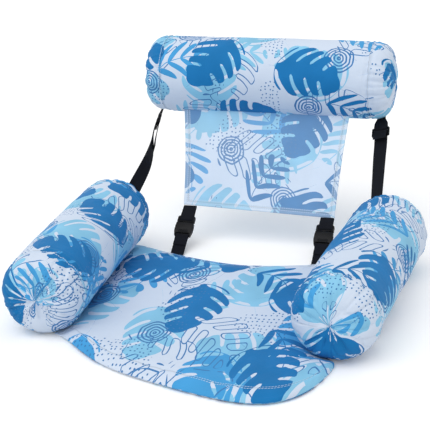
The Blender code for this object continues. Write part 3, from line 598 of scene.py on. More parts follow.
def swell(piece, held, pressure, most, spread):
    """Blow sewn cloth up with a cloth simulation, and let no point move further than most."""
    start = coordinates(piece.data)
    group = piece.vertex_groups.new(name="held")
    for index in np.nonzero(held > 0)[0]:
        group.add([int(index)], float(held[index]), "REPLACE")
    step = piece.modifiers.new("Cloth", "CLOTH")
    set_up(step.settings, quality=4, mass=0.15, tension_stiffness=12, compression_stiffness=12,
           shear_stiffness=4, bending_stiffness=0.15, air_damping=2, use_pressure=True,
           uniform_pressure_force=pressure, vertex_group_mass="held", shrink_min=-spread)
    step.settings.effector_weights.gravity = 0
    step.collision_settings.use_collision = False
    step.point_cache.frame_start = 1
    step.point_cache.frame_end = CLOTH_FRAMES
    scene = bpy.context.scene
    for number in range(1, CLOTH_FRAMES + 1):
        scene.frame_set(number)
    shaped = piece.evaluated_get(bpy.context.evaluated_depsgraph_get())
    moved = coordinates(shaped.data) - start
    piece.modifiers.remove(step)
    piece.vertex_groups.remove(group)
    scene.frame_set(1)
    if not np.isfinite(moved).all():
        raise RuntimeError(piece.name + ": the cloth simulation went wrong")
    length = np.linalg.norm(moved, axis=1, keepdims=True)
    moved *= most * np.tanh(length / most) / np.maximum(length, 1e-9)
    piece.data.vertices.foreach_set("co", (start + moved).ravel())
    piece.data.update()


# Tubes

class Tube:
    """A blown-up tube along its own Z, its valve end at +Z and its X facing up."""

    def __init__(self, diameter, length, corner, dome, middle, heading):
        self.radius = diameter / 2
        self.half = length / 2
        self.corner = corner
        self.dome = dome
        self.shoulder = self.half - dome - corner
        turn = Matrix((UP, heading.cross(UP), heading)).transposed().to_4x4()
        self.place = Matrix.Translation(middle) @ turn

    def on_corner(self, end, arc, turn):
        """A point on an end's round corner: arc from the end's face, turn about the axis from up."""
        reach = self.radius - self.corner + self.corner * math.sin(arc)
        height = end * (self.shoulder + self.corner * math.cos(arc))
        return self.place @ Vector((reach * math.cos(turn), reach * math.sin(turn), height))

    def outline(self, inset, spacing):
        """Rows of (radius, height, outward radius, outward height, arc) from the far middle to the port."""
        flat = self.radius - self.corner
        rows = []
        steps = round(flat / spacing)
        for i in range(1, steps):
            r = flat * i / steps
            rows.append((r, -(self.half - self.dome * (r / flat) ** 2), 0.0, -1.0))
        steps = round(self.corner * math.pi / 2 / spacing)
        for i in range(steps + 1):
            turn = math.pi / 2 * i / steps
            out, up = math.sin(turn), -math.cos(turn)
            rows.append((flat + self.corner * out, -self.shoulder + self.corner * up, out, up))
        close = [self.shoulder - 0.003 * i for i in range(1, 9)]
        steps = round(2 * close[-1] / spacing)
        between = [close[-1] - 2 * close[-1] * i / steps for i in range(1, steps)]
        barrel = [(self.radius, -place, 1.0, 0.0) for place in close + between + [-p for p in close[::-1]]]
        far = [(r, -z, out, -up) for r, z, out, up in rows[::-1] if r > PORT_RADIUS + spacing / 2]
        rows = np.array(rows + barrel + far + [(PORT_RADIUS, self.half - 0.0005, 0.0, 1.0)])
        rows[:, 0] -= inset * rows[:, 2]
        rows[:, 1] -= inset * rows[:, 3]
        steps = np.hypot(np.diff(rows[:, 0]), np.diff(rows[:, 1]))
        arc = np.concatenate(([rows[0, 0]], rows[0, 0] + np.cumsum(steps)))
        return np.column_stack((rows, arc))


def puckers(rows, turns, depths, seed):
    """How far each point sinks into the creases that run out from the gathered ends."""
    chance = random.Random(seed)
    sunk = np.zeros((len(rows), len(turns)))
    for depth, from_end in zip(depths, (rows[:, 4], rows[-1, 4] + PORT_RADIUS - rows[:, 4])):
        for number in range(26):
            main = number < 9
            middle = 2 * math.pi * number / 9 if main else chance.uniform(0, 2 * math.pi)
            middle += chance.uniform(-0.22, 0.22)
            deep = depth * (chance.uniform(0.6, 1.0) if main else chance.uniform(0.15, 0.4))
            long = chance.uniform(0.085, 0.150) if main else chance.uniform(0.05, 0.11)
            bend = chance.uniform(-2.2, 2.2)
            width = 0.0022 + 0.065 * from_end * (1.0 if main else 0.6)
            away = turns[None, :] - middle - bend * np.minimum(from_end, 0.15)[:, None]
            away = np.abs((away + math.pi) % (2 * math.pi) - math.pi) * rows[:, 0, None]
            along = smooth(from_end / 0.014) * (1 - smooth((from_end - 0.35 * long) / (0.65 * long)))
            sunk += deep * along[:, None] * np.exp(-(away / width[:, None]) ** 2)
    return sunk


def unevenness(points, amount, size):
    """A slow random rise and fall over cloth, from -amount to amount."""
    return np.array([amount * noise.noise(Vector(point) / size) for point in points])


def ring_noise(turns, radius, heights):
    """Random numbers on a cylinder, so that they meet where a turn closes."""
    return np.array([noise.noise((radius * math.cos(turn), radius * math.sin(turn), height))
                     for turn, height in zip(turns, heights)])


def seam_rise(tube, rows, height):
    """The raised row of stitching at each end of the barrel."""
    distance = np.abs(np.abs(rows[:, 1]) - tube.shoulder + SEAM_INSET)
    return height * np.exp(-(distance / 0.0022) ** 2)


def tucks(piece, tube, seed):
    """Press the pleats of the end seams and a few slack wrinkles into a finished cover."""
    mesh = piece.data
    points = coordinates(mesh)
    normals = np.empty(points.size)
    mesh.vertex_normals.foreach_get("vector", normals)
    local = carried(points, tube.place.inverted())
    turn = np.arctan2(local[:, 1], local[:, 0])
    away = np.abs(local[:, 2]) - tube.shoulder + SEAM_INSET
    end = np.sign(local[:, 2])
    slow = ring_noise(turn, 2.2, seed + 3 * end)
    quick = ring_noise(turn, 7, seed + 20 * away)
    near = np.exp(-(away / 0.015) ** 2)
    pleat = np.cos(2 * math.pi * (away + 0.006 * slow) / 0.0125) * (0.6 + 0.8 * slow) * near
    pucker = quick * np.exp(-np.abs(away) / 0.012)
    radius = np.hypot(local[:, 0], local[:, 1])
    fine = ring_noise(turn, 3.4, seed + 5 * end + 14 * radius)
    on_end = smooth((away + 0.012) / 0.02) * smooth((radius - 0.016) / 0.02)
    crease = -np.clip(1 - np.abs(fine) / 0.16, 0, 1) ** 1.5 * on_end
    push = 0.0015 * pleat + 0.0026 * pucker + 0.0026 * crease
    points += push[:, None] * normals.reshape(-1, 3)
    mesh.vertices.foreach_set("co", points.ravel())
    mesh.update()


def tube_cover(name, tube, on_floor, seed, print_shift, gathers):
    """The sewn cloth cover of one tube."""
    sides = TUBE_SIDES
    rows = tube.outline(0.0012, 0.0056)
    turns = math.pi + 2 * math.pi * (np.arange(sides) + 0.5) / sides
    sunk = puckers(rows, turns, [share * chair().gather_depth for share in gathers], seed)
    swollen = 1 - smooth((tube.half - np.abs(rows[:, 1])) / 0.05)
    out = (seam_rise(tube, rows, 0.0014) + 0.0030 * swollen)[:, None] - sunk
    reach = rows[:, 0, None] + out * rows[:, 2, None]
    height = rows[:, 1, None] + out * rows[:, 3, None]
    points, faces = lathe(reach, height, turns, rows[0, 1] + 0.003)
    rings = points[:-1]
    lengthways = np.repeat(rows[:, 3], sides)
    push = unevenness(rings + 3.0 * seed, 0.0012, 0.10) + unevenness(rings + seed, 0.0006, 0.035)
    rings[:, 2] += push * lengthways
    rings[:, :2] *= (1 + push * (1 - np.abs(lengthways)) / np.linalg.norm(rings[:, :2], axis=1))[:, None]
    points = carried(points, tube.place)
    if on_floor:
        points[:, 2] = np.maximum(points[:, 2], FLOOR_CLEAR)

    arc = rows[:, 4]
    cloth_map = [corner for low, high in zip(arc, arc[1:]) for i in range(sides)
                 for corner in ((i, low), (i + 1, low), (i + 1, high), (i, high))]
    cloth_map += [corner for i in range(sides) for corner in ((i + 0.5, 0), (i + 1, arc[0]), (i, arc[0]))]
    side = 2 * math.pi * tube.radius / sides
    piece = new_piece(name, points, faces, np.array(cloth_map) * (side, 1) + print_shift, cover_cloth())
    away_from(piece, tube.place.translation)
    past_seam = np.abs(rows[:, 1]) - tube.shoulder
    along = np.append(np.tile(np.arange(sides) * side, len(rows)), 0)
    sewn(piece, along, np.append(np.repeat(past_seam + SEAM_INSET, sides), 0.05))

    held = np.minimum(0.7 * (np.abs(past_seam) < 0.004) + 1.0 * (rows[:, 0] < 0.014), 1)
    held = np.append(np.repeat(held, sides), 1.0)
    if on_floor:
        held[points[:, 2] < 0.012] = 1.0
    swell(piece, held, 4.0, 0.0040, 0.020)
    modify(piece, "SUBSURF", levels=1)
    tucks(piece, tube, seed)
    if on_floor:
        above_floor(piece)
    return piece


def arm_tube(sign):
    """The place and shape of one armrest."""
    sizes = chair()
    heading = Vector((sign * math.sin(sizes.arm_toe_in), math.cos(sizes.arm_toe_in), 0))
    middle = Vector((sign * sizes.arm_spacing / 2, ARM_MIDDLE_Y, sizes.arm_diameter / 2 - FLOOR_FLAT))
    return Tube(sizes.arm_diameter, sizes.arm_length, ARM_CORNER, ARM_DOME, middle, heading)


def backrest_tube():
    """The place and shape of the backrest tube."""
    sizes = chair()
    return Tube(sizes.backrest_diameter, sizes.backrest_length, BACKREST_CORNER, BACKREST_DOME,
                BACKREST_MIDDLE, -RIGHT)


def film_bladder(name, tube, film):
    """The air bladder under a cover: slack film that stays clear of the cover's creases."""
    sides = TUBE_SIDES // 2
    rows = tube.outline(0.0, 0.012)
    inset = 0.0029 + 0.0085 * smooth((rows[-1, 4] - rows[:, 4] - 0.008) / 0.02)
    turns = math.pi + 2 * math.pi * np.arange(sides) / sides
    reach = (rows[:, 0] - inset * rows[:, 2])[:, None] + 0 * turns
    height = (rows[:, 1] - inset * rows[:, 3])[:, None] + 0 * turns
    reach[-1] = 0.0053
    points, faces = lathe(reach, height, turns, height[0, 0])
    piece = new_piece(name, carried(points, tube.place), faces, None, film)
    away_from(piece, tube.place.translation)
    return piece


class POOLCHAIR_OT_covers(Operator):
    """Sew and blow up the covers of the two armrests and the backrest"""

    bl_idname = "pool_chair.covers"
    bl_label = "Tube Covers"

    def execute(self, context):
        # name, body, tube, seed, shift of the print, depth of the gathers at the two ends
        tubes = [
            ("left_arm", "seat", arm_tube(-1), 10, (4.60, 2.71), (0.65, 0.6)),
            ("right_arm", "seat", arm_tube(1), 12, (7.20, 0.58), (0.30, 0.6)),
            ("backrest", "backrest", backrest_tube(), 5, (3.61, 0.97), (0.45, 0.6)),
        ]
        for name, body, tube, seed, print_shift, gathers in tubes:
            cover = tube_cover(name + "_cloth", tube, body == "seat", seed, print_shift, gathers)
            stands_for(cover, body, name + "_cover")
        film = the_material("Clear PVC film", soft_vinyl, linear("#DDE6EC"), 0.20, 0.6)
        for name, body, tube, *_ in tubes:
            bladder = film_bladder(name + "_film", tube, film)
            stands_for(bladder, body, name + "_bladder")
        return {"FINISHED"}


# Seat

def seat_outline(share):
    """Front and rear of the seat at a share of its half width."""
    right = share > 0
    rest = np.maximum(0, 1 - np.abs(share) ** np.where(right, 3.8, 3.6))
    front = SEAT_CORNER_Y - (chair().seat_reach + 0.088 * share) * rest ** np.where(right, 0.5, 1.4)
    rear = 0.295 - 0.090 * (1 - np.abs(share) ** 1.6)
    return front, rear


def seat_half(y, share):
    """Half the seat's width, which follows the armrests and flares before the right one's end."""
    sizes = chair()
    flare = np.where(share > 0, 0.027 * smooth((SEAT_CORNER_Y + 0.018 - y) / 0.045), 0)
    toe = math.tan(sizes.arm_toe_in) * (np.maximum(y, SEAT_CORNER_Y) - ARM_MIDDLE_Y)
    return sizes.arm_spacing / 2 - 0.020 + toe + flare


def rolled(distance, radius):
    """Share of the full height at a distance from a rolled edge."""
    return np.sqrt(1 - (1 - np.clip(distance / radius, 0, 1)) ** 2)


def drag_lines(x, y, from_side):
    """Wrinkles that run in from the armrests' seams, each at its own slant, length and depth."""
    chance = random.Random(8)
    height = np.zeros(x.shape)
    for side in (-1, 1):
        place = -0.27
        while place < 0.25:
            place += chance.uniform(0.014, 0.036)
            slant = chance.uniform(-0.75, 0.35)
            long = chance.uniform(0.05, 0.14)
            wide = chance.uniform(0.0045, 0.0085)
            deep = chance.uniform(0.0010, 0.0028) * chance.choice((-1, 1))
            away = y - place - slant * from_side + 0.8 * from_side ** 2
            along = smooth(from_side / 0.02) * (1 - smooth((from_side - 0.3 * long) / (0.7 * long)))
            height += np.where(side * x > 0, deep * along * np.exp(-(away / wide) ** 2), 0)
    return height


class POOLCHAIR_OT_seat(Operator):
    """Sew the padded seat between the armrests"""

    bl_idname = "pool_chair.seat"
    bl_label = "Padded Seat"

    def execute(self, context):
        sizes = context.scene.pool_chair_sizes
        columns, rows = SEAT_CELLS
        share = np.sin(math.pi * (np.arange(columns + 1) / columns - 0.5) * 0.999)
        share /= share[-1]
        along = np.arange(rows + 1) / rows
        along = 0.35 * (0.5 - 0.5 * np.cos(math.pi * along)) + 0.65 * along
        share, along = np.meshgrid(share, along, indexing="ij")
        front, rear = seat_outline(share)
        y = front + (rear - front) * along
        half = seat_half(y, share)
        x = half * share
        from_side = half * (1 - np.abs(share))
        from_front = y - front
        from_rear = rear - y

        # Height: thin at the armrests' seams and the rear hem, rolled at the front
        sewn_rise = smooth(from_side / SEAT_RISE)
        ahead = smooth((SEAT_CORNER_Y - y) / SEAT_RISE)
        side_rise = sewn_rise + (rolled(from_side, SEAT_ROLL) - sewn_rise) * ahead
        rear_rise = smooth(from_rear / SEAT_RISE)
        hem = 0.007 + (sizes.seat_thickness - 0.001 - 0.007) * rear_rise
        wave = 0.0012 * np.sin(4 * math.pi * share) * np.sin(2 * math.pi * along) * rear_rise
        free = smooth((SEAT_CORNER_Y + 0.01 - y) / 0.05)
        lip = 0.0022 + 0.0045 * free
        crease = drag_lines(x, y, from_side) * smooth(from_front / 0.04) * rear_rise
        crease -= 0.0012 * np.exp(-((from_rear - HEM_WIDTH) / 0.0025) ** 2)
        crease -= 0.0009 * np.exp(-((from_front - FRONT_HEM) / 0.004) ** 2) * smooth(from_side / 0.08)
        full = 0.0022 * free * smooth(from_front / 0.02) * (1 - smooth((from_front - 0.03) / 0.06))
        tail = smooth((0.0165 - np.abs(np.abs(x) - STRAP_X)) / 0.003) * smooth((y - 0.207) / 0.004)
        tail *= smooth(from_rear / 0.01)
        z = lip + (hem - lip + wave + full) * side_rise * rolled(from_front, SEAT_ROLL)
        z = np.maximum(z + (crease + 0.0010 * tail) * side_rise, SEAT_LEAST)
        lift = (lip - SEAT_LEAST) * (1 - rolled(from_front, 0.014)) * free * smooth(from_side / 0.01)
        levels = (z, np.minimum(0.0003 + lift, z - 0.0004))
        points = np.stack([np.stack((x, y, level), axis=2) for level in levels]).reshape(-1, 3)

        # Top and underside cell by cell, then the wall round the edge
        number = np.arange(x.size).reshape(x.shape)
        top = quads(number)
        faces = np.stack((top, top[:, ::-1] + x.size), axis=1).reshape(-1, 4)
        flat = np.stack((x, y), axis=2).reshape(-1, 2) * SEAT_PRINT
        cloth_map = np.vstack((flat, flat + (1.7, 0.4)))[faces]
        a = np.concatenate((number[:-1, 0], number[-1, :-1], number[:0:-1, -1], number[0, :0:-1]))
        b = np.roll(a, -1)
        wall = np.stack((b, a, a + x.size, b + x.size), axis=1)
        wall_map = np.stack((flat[b], flat[a], flat[a] - (0, 0.004), flat[b] - (0, 0.004)), axis=1)
        cloth_map = np.concatenate((cloth_map, wall_map)) + (0.62, 0.74)
        faces = np.concatenate((faces, wall)).tolist()
        piece = new_piece("seat_cloth", points, faces, cloth_map, cover_cloth())
        outward(piece)
        away = np.minimum(from_rear - HEM_WIDTH, from_front - FRONT_HEM) + STITCH_ROW
        sewn(piece, np.tile(x.ravel(), 2), np.tile(away.ravel(), 2), -np.tile(tail.ravel(), 2))
        held = np.ones(2 * x.size)
        held[:x.size] = ((from_side < 0.012) | (from_front < 0.004) | (from_rear < 0.004)).ravel()
        swell(piece, held, 2.5, 0.0030, 0.012)
        modify(piece, "SUBSURF", levels=1)
        above_floor(piece)
        stands_for(piece, "seat", "seat_panel")
        return {"FINISHED"}


# Back panel

class POOLCHAIR_OT_back_panel(Operator):
    """Hang the sheer back panel under the backrest tube"""

    bl_idname = "pool_chair.back_panel"
    bl_label = "Back Panel"

    def execute(self, context):
        sizes = context.scene.pool_chair_sizes
        under = Vector((0, math.sin(PANEL_LEAN), math.cos(PANEL_LEAN))) * sizes.backrest_diameter / 2
        top = BACKREST_MIDDLE - under
        foot = HINGE + STRAP_WAY * STRAP_RUN
        hang = (foot - top).normalized()
        face = RIGHT.cross(-hang)
        start = top - hang * 0.003
        length = (foot - start).length
        columns, rows = PANEL_CELLS
        share = np.linspace(-1, 1, columns + 1)
        share, down = np.meshgrid(share, np.linspace(0, 1, rows + 1), indexing="ij")
        belly = np.sin(math.pi * down)
        across = (PANEL_HALF_TOP + (PANEL_HALF_FOOT - PANEL_HALF_TOP) * down - 0.0015 * belly) * share
        fold = sizes.panel_fold * np.sin(math.pi * 2.5 * share) * belly
        fold += 0.0010 * np.sin(23 * share + 3 * down) * (1 - down) * belly
        fold += 0.0008 * np.sin(31 * share - 4 * down) * down * belly
        hemmed = np.minimum(np.abs(across[-1]) - np.abs(across), length * (1 - down))
        fold += 0.0007 * smooth((HEM_WIDTH + 0.001 - hemmed) / 0.002)
        hung = length * down + PANEL_TILT * share * down ** 2
        points = np.array(start) + sum(
            far[..., None] * np.array(way) for far, way in ((hung, hang), (across, RIGHT), (fold, face)))
        flat = np.stack((across, length * (1 - down)), axis=2).reshape(-1, 2)
        faces = quads(np.arange(share.size).reshape(share.shape))
        # The sheer panel's colour is lifted by 15% as painted light shining through it
        cloth = the_material("Sheer printed polyester", printed_cloth, 0.16, 1.15, 0.8)
        panel = new_piece("back_panel_cloth", points.reshape(-1, 3), faces.tolist(),
                          flat[faces] + (0.33, 4.80), cloth)
        double = smooth((HEM_WIDTH + 0.0012 - hemmed) / 0.0015)
        along = across + length * down
        sewn(panel, along.ravel(), (hemmed - HEM_WIDTH + STITCH_ROW).ravel(), double.ravel())
        away_from(panel, start - face)
        modify(panel, "SOLIDIFY", thickness=0.0009, offset=0)
        stands_for(panel, "backrest", "back_panel")
        return {"FINISHED"}


# Webbing

def ribbon(name, centres, acrosses, widths, cover):
    """A flat woven strap swept along centres, with thick selvedges and sealed ends."""
    thick = chair().web_thickness / 2
    upper = [(-1, 0.0), (-0.985, 0.75), (-0.93, 1.0), (-0.85, 0.86), (0, 0.86), (0.85, 0.86), (0.93, 1.0),
             (0.985, 0.75)]
    profile = upper + [(-a, -b) for a, b in upper]
    count = len(profile)
    last = len(centres) - 1
    points, run, travelled = [], [], 0.0
    for i, (centre, across, width) in enumerate(zip(centres, acrosses, widths)):
        before, after = centres[max(0, i - 1)], centres[min(last, i + 1)]
        along = (after - before).normalized()
        side = (across - along * across.dot(along)).normalized()
        out = side.cross(along).normalized()
        travelled += (centre - before).length
        run.append(travelled)
        points += [centre + side * (a * width / 2) + out * (b * thick) for a, b in profile]
    cloth_map = []
    for j in range(last):
        for (a, _), (b, _) in zip(profile, profile[1:] + profile[:1]):
            u, v = a * widths[j] / 2, b * widths[j] / 2
            cloth_map += [(u, run[j]), (v, run[j]), (v, run[j + 1]), (u, run[j + 1])]
    cloth_map += [(0, run[0])] * count + [(0, run[-1])] * count
    ends = [tuple(range(count)), tuple(range(last * count, (last + 1) * count))]
    piece = new_piece(name, points, bands(last + 1, count) + ends, cloth_map, cover)
    outward(piece)
    piece.data.set_sharp_from_angle(angle=math.radians(50))
    return piece


def resampled(centres, acrosses, widths, spacing):
    """The same line with points close together, so that bends are round."""
    where = [0.0]
    for a, b in zip(centres, centres[1:]):
        where.append(where[-1] + (b - a).length)
    steps = max(2, round(where[-1] / spacing))
    wanted = np.linspace(0, where[-1], steps + 1)
    columns = [np.interp(wanted, where, [c[k] for c in centres]) for k in range(3)]
    turns = [np.interp(wanted, where, [a[k] for a in acrosses]) for k in range(3)]
    wide = np.interp(wanted, where, widths)
    return ([Vector(c) for c in zip(*columns)], [Vector(t).normalized() for t in zip(*turns)],
            [float(w) for w in wide])


def half_turn(bar, along, out, steps=12):
    """Centres of the half turn that webbing makes round a bar, from behind to the front."""
    made = []
    for i in range(steps + 1):
        turn = math.pi * i / steps
        made.append(bar + (along * math.sin(turn) - out * math.cos(turn)) * FOLD_RADIUS)
    return made


def doubled(path, across, widths, bar_along):
    """Webbing doubled along a path and folded round the bar at its end."""
    closed = chair().web_thickness / 2 + 0.0003
    out = across.cross(bar_along).normalized()
    back, front = [], []
    for i, point in enumerate(path[:-1]):
        towards = (path[i + 1] - point).normalized()
        face = across.cross(-towards).normalized()
        spread = closed if i < len(path) - 2 else FOLD_RADIUS
        back.append(point - face * spread)
        front.append(point + face * spread)
    bend = half_turn(path[-1], -bar_along, out)
    centres = back + bend + front[::-1]
    width = widths + [widths[-1]] * len(bend) + widths[::-1]
    return centres, [across] * len(centres), width


def twisted(down, turn):
    """The across direction of a side strap, turned about the strap."""
    level = (RIGHT - down * RIGHT.dot(down)).normalized()
    return (level * math.cos(turn) + level.cross(down) * math.sin(turn)).normalized()


def strap(name, line, body, node, spacing=0.002):
    """A finished strap that stands for a CAD node."""
    cloth = the_material("Woven polypropylene webbing", woven_webbing)
    piece = ribbon(name, *resampled(*line, spacing), cloth)
    if body:
        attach(piece, body)
    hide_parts(node)
    return piece


def side_straps(side, sign):
    """The tab under the backrest's end, and the long strap down to the armrest."""
    wide = chair().web_width
    top = backrest_tube().on_corner(-sign, math.radians(64), math.pi + math.radians(7))
    foot = arm_tube(sign).on_corner(1, math.radians(19.7), -sign * math.radians(41))
    down = (foot - top).normalized()
    # In the photo the left strap is twisted further and bows, and its tail hangs longer
    slider_turn, bow, tail = {"left": (112.0, 0.011, 0.070), "right": (-14.0, 0.0, 0.022)}[side]
    slider_turn = math.radians(slider_turn)
    foot_turn = math.radians(-34.0 * sign)
    across = twisted(down, slider_turn)
    out = across.cross(-down)
    bar = top + down * SLIDER_DROP
    middle = bar + down * SLIDER_SPACING
    path = [top - down * 0.003, top + down * 0.004, top + down * 0.0155, bar - down * 0.003, bar]
    tab = doubled(path, across, [0.018, 0.019, wide, wide], -down)
    strap(side + "_upper_tab_web", tab, "backrest", side + "_upper_tab")

    bend = half_turn(middle, -down, out)
    reach = foot + down * 0.003 - bend[0]
    stand_off = 0.003 - FOLD_RADIUS + 0.0016
    centres, acrosses = [], []
    for share in np.arange(40, 0, -1) / 40:
        bulge = stand_off * math.sin(math.pi * min(1, 3 * share)) ** 2
        aside = bow * math.sin(math.pi * share) ** 1.5
        centres.append(bend[0] + reach * share - out * bulge + RIGHT * aside)
        turn = slider_turn + (foot_turn - slider_turn) * float(smooth(share))
        acrosses.append(twisted(down, turn))
    centres += bend
    for share in np.arange(1, 13) / 12:
        lift = stand_off * float(smooth(3 * share)) + tail * 0.12 * share ** 2
        centres.append(bend[-1] + down * tail * share + out * lift)
    acrosses += [across] * (len(centres) - len(acrosses))
    line = (centres, acrosses, [wide] * len(centres))
    piece = strap(side + "_side_web", line, None, side + "_side_strap", 0.003)
    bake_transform(piece)


def lower_straps(side, sign):
    """The strap from the seat's rear hem to the buckle, its sewn tail, and the panel's loop."""
    sizes = chair()
    wide, thick = sizes.web_width, sizes.web_thickness
    low = HINGE + RIGHT * STRAP_X * sign
    out = RIGHT.cross(STRAP_WAY)
    bar = low + STRAP_WAY * BUCKLE_START
    bend = half_turn(bar, STRAP_WAY, out)
    clear = STRAP_WAY * BAR_RADIUS * 2
    centres = [low - STRAP_WAY * thick * 0.3, low + STRAP_WAY * 0.002, bar - STRAP_WAY * 0.0276,
               bar - STRAP_WAY * 0.0087, bend[0] - clear, *bend, bend[-1] - clear,
               bar - STRAP_WAY * 0.0087 + out * thick * 1.5, bar - STRAP_WAY * 0.026 + out * (thick + 0.0003)]
    count = len(centres)
    strap(side + "_lower_web", (centres, [RIGHT] * count, [wide] * count), "backrest", side + "_lower_strap")

    root = low + STRAP_WAY * (STRAP_RUN - 0.0018 - PANEL_TILT * sign)
    path = [root, root - STRAP_WAY * thick, bar + STRAP_WAY * (PLUG_HIGH + FOLD_RADIUS / 2),
            bar + STRAP_WAY * MIDDLE_BAR]
    loop = doubled(path, RIGHT, [wide] * 3, STRAP_WAY)
    strap(side + "_panel_loop_web", loop, "backrest", side + "_panel_loop")

    tail = [low - Vector((0, thick / 2 + 0.0003 + 0.041 * i / 8, 0)) for i in range(9)]
    strap(side + "_tail_web", (tail, [RIGHT] * 9, [wide] * 9), "seat", side + "_hem_tail", 0.004)


class POOLCHAIR_OT_webbing(Operator):
    """Thread all the webbing straps"""

    bl_idname = "pool_chair.webbing"
    bl_label = "Webbing"

    def execute(self, context):
        for side, sign in SIDES.items():
            side_straps(side, sign)
            lower_straps(side, sign)
        return {"FINISHED"}


# Fittings

def moulded(name, acetal):
    """A CAD fitting with its edges rounded, as they come from the mould."""
    piece = in_scene(name + "_moulded", frame["nodes"][name].data.copy())
    piece.data.materials.clear()
    piece.data.materials.append(acetal)
    pick(piece)
    bpy.ops.object.mode_set(mode="EDIT")
    bpy.ops.mesh.select_all(action="SELECT")
    bpy.ops.mesh.remove_doubles(threshold=0.00001)
    bpy.ops.mesh.dissolve_limited(angle_limit=math.radians(1))
    bpy.ops.object.mode_set(mode="OBJECT")
    modify(piece, "BEVEL", width=0.0007, segments=3, limit_method="ANGLE", angle_limit=math.radians(30))
    bpy.ops.object.shade_smooth_by_angle(angle=math.radians(35))
    stands_for(piece, name if name in frame["bodies"] else "backrest", name)


def grip_ribs(side, sign, acetal):
    """Low ribs across the buckle's face, which give the fingers a hold."""
    place = Matrix((RIGHT, STRAP_WAY, RIGHT.cross(STRAP_WAY))).transposed().to_4x4()
    place.translation = HINGE + RIGHT * STRAP_X * sign + STRAP_WAY * BUCKLE_START
    bpy.ops.mesh.primitive_cube_add(size=1, location=(0, 0, 0))
    ribs = bpy.context.active_object
    ribs.name = side + "_buckle_ribs"
    ribs.data.materials.append(acetal)
    ribs.data.transform(Matrix.Diagonal((0.023, 0.0013, 0.0016, 1)))
    modify(ribs, "BEVEL", width=0.0005, segments=3)
    modify(ribs, "ARRAY", count=4, use_relative_offset=False, use_constant_offset=True,
           constant_offset_displace=(0, 0.0024, 0))
    ribs.data.transform(place @ Matrix.Translation((0, 0.0055, 0.0052)))
    bpy.ops.object.shade_smooth_by_angle(angle=math.radians(40))
    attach(ribs, "backrest")


class POOLCHAIR_OT_fittings(Operator):
    """Finish the buckles, sliders, valves and plugs"""

    bl_idname = "pool_chair.fittings"
    bl_label = "Fittings"

    def execute(self, context):
        acetal = the_material("Moulded acetal", moulded_acetal)
        white = the_material("White moulded PVC", soft_vinyl, linear("#ECEDEF"), 0.38, 0.0)
        for name, node in list(frame["nodes"].items()):
            if "buckle" in name or "slider" in name:
                moulded(name, acetal)
            elif name.endswith(("_valve", "_plug")):
                for place in node.material_slots:
                    place.material = white
        for side, sign in SIDES.items():
            grip_ribs(side, sign, acetal)
        return {"FINISHED"}


# Stage

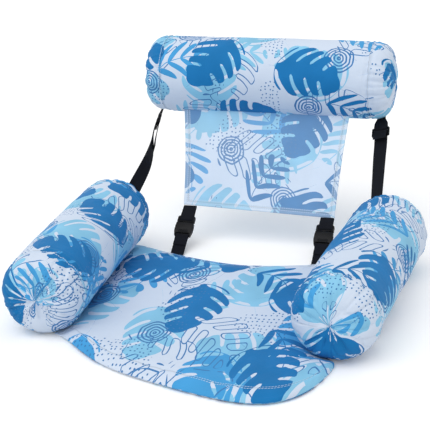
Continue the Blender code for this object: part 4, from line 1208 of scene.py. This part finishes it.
class POOLCHAIR_OT_stage(Operator):
    """Set the floor, the soft studio light and the camera"""

    bl_idname = "pool_chair.stage"
    bl_label = "Studio"

    def execute(self, context):
        scene = context.scene
        bpy.ops.object.select_all(action="DESELECT")
        bpy.ops.mesh.primitive_plane_add(size=24, location=(0, 0, 0))
        floor = context.active_object
        floor.name = "studio_floor"
        white = (1.0, 1.0, 1.0, 1.0)
        made, tree, shader = new_material(
            "Studio floor", Roughness=0.9, Specular_IOR_Level=0.1, Emission_Color=white)
        seen = add(tree, "LightPath")["Is Camera Ray"]
        colour = add(tree, "MixRGB", seen, tint(scene.pool_chair_colours.floor), white)
        wire(shader, Base_Color=colour, Emission_Strength=seen * 0.08)
        floor.data.materials.append(made)

        world = bpy.data.worlds.new("Studio")
        scene.world = world
        world.use_nodes = True
        ray = add(world.node_tree, "LightPath")
        bright = ray["Is Camera Ray"].math("MAXIMUM", ray["Is Glossy Ray"])
        bright = bright.math("MAXIMUM", ray["Is Transmission Ray"])
        wire(world.node_tree.nodes["Background"], Color=white, Strength=bright.spread(0.0, 1.0, 0.76, 1.0))

        light = bpy.data.lights.new("Soft overhead light", "SUN")
        lamp = in_scene(light.name, set_up(light, energy=1.0, angle=math.radians(60)))
        lamp.rotation_euler = Vector((-0.24, -0.50, 1.0)).to_track_quat("Z", "Y").to_euler()

        # The camera, by its direction round the chair, and the point that it is aimed at
        azimuth, elevation, roll = (math.radians(value) for value in (16.7, 19.0, 1.9))
        across = Vector((math.cos(azimuth), math.sin(azimuth), 0))
        back = UP.cross(across) * -math.cos(elevation) + UP * math.sin(elevation)
        upward = back.cross(across)
        right = across * math.cos(roll) - upward * math.sin(roll)
        upward = upward * math.cos(roll) + across * math.sin(roll)
        target = Vector((0, 0, 0.2))
        eye = target + back * CAMERA_AWAY
        aim = target + right * 0.0066 - upward * 0.0101
        back = (eye - aim).normalized()
        right = upward.cross(back).normalized()
        upward = back.cross(right)
        lens = bpy.data.cameras.new("Photo camera")
        camera = in_scene(lens.name, set_up(lens, sensor_width=36, lens=LENS))
        camera.matrix_world = Matrix.Translation(eye) @ Matrix((right, upward, back)).transposed().to_4x4()
        scene.camera = camera
        scene.view_settings.view_transform = "Standard"
        return {"FINISHED"}


class POOLCHAIR_PT_sidebar(Panel):
    """Buttons for each group of pieces, in order"""

    bl_label = "Pool Chair"
    bl_space_type = "VIEW_3D"
    bl_region_type = "UI"
    bl_category = "Pool Chair"

    def draw(self, context):
        layout = self.layout
        for group in (context.scene.pool_chair_sizes, context.scene.pool_chair_colours):
            column = layout.column()
            for name in group.bl_rna.properties.keys():
                if name not in ("rna_type", "name"):
                    column.prop(group, name)
        for operator in STEPS:
            layout.operator(operator.bl_idname)


STEPS = (POOLCHAIR_OT_stage, POOLCHAIR_OT_covers, POOLCHAIR_OT_seat, POOLCHAIR_OT_back_panel,
         POOLCHAIR_OT_webbing, POOLCHAIR_OT_fittings)
CLASSES = (PoolChairSizes, PoolChairColours, *STEPS, POOLCHAIR_PT_sidebar)


def register():
    """Register the classes and hang the sizes and colours on the scene."""
    for item in CLASSES:
        bpy.utils.register_class(item)
    bpy.types.Scene.pool_chair_sizes = PointerProperty(type=PoolChairSizes)
    bpy.types.Scene.pool_chair_colours = PointerProperty(type=PoolChairColours)


def unregister():
    """Take the sizes, colours and classes away again."""
    del bpy.types.Scene.pool_chair_colours
    del bpy.types.Scene.pool_chair_sizes
    for item in reversed(CLASSES):
        bpy.utils.unregister_class(item)


def main():
    """Make every piece in order."""
    register()
    bpy.ops.object.select_all(action="DESELECT")
    bpy.ops.pool_chair.stage()
    bpy.ops.pool_chair.covers()
    bpy.ops.pool_chair.seat()
    bpy.ops.pool_chair.back_panel()
    bpy.ops.pool_chair.webbing()
    bpy.ops.pool_chair.fittings()
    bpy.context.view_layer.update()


if __name__ == "__main__":
    main()
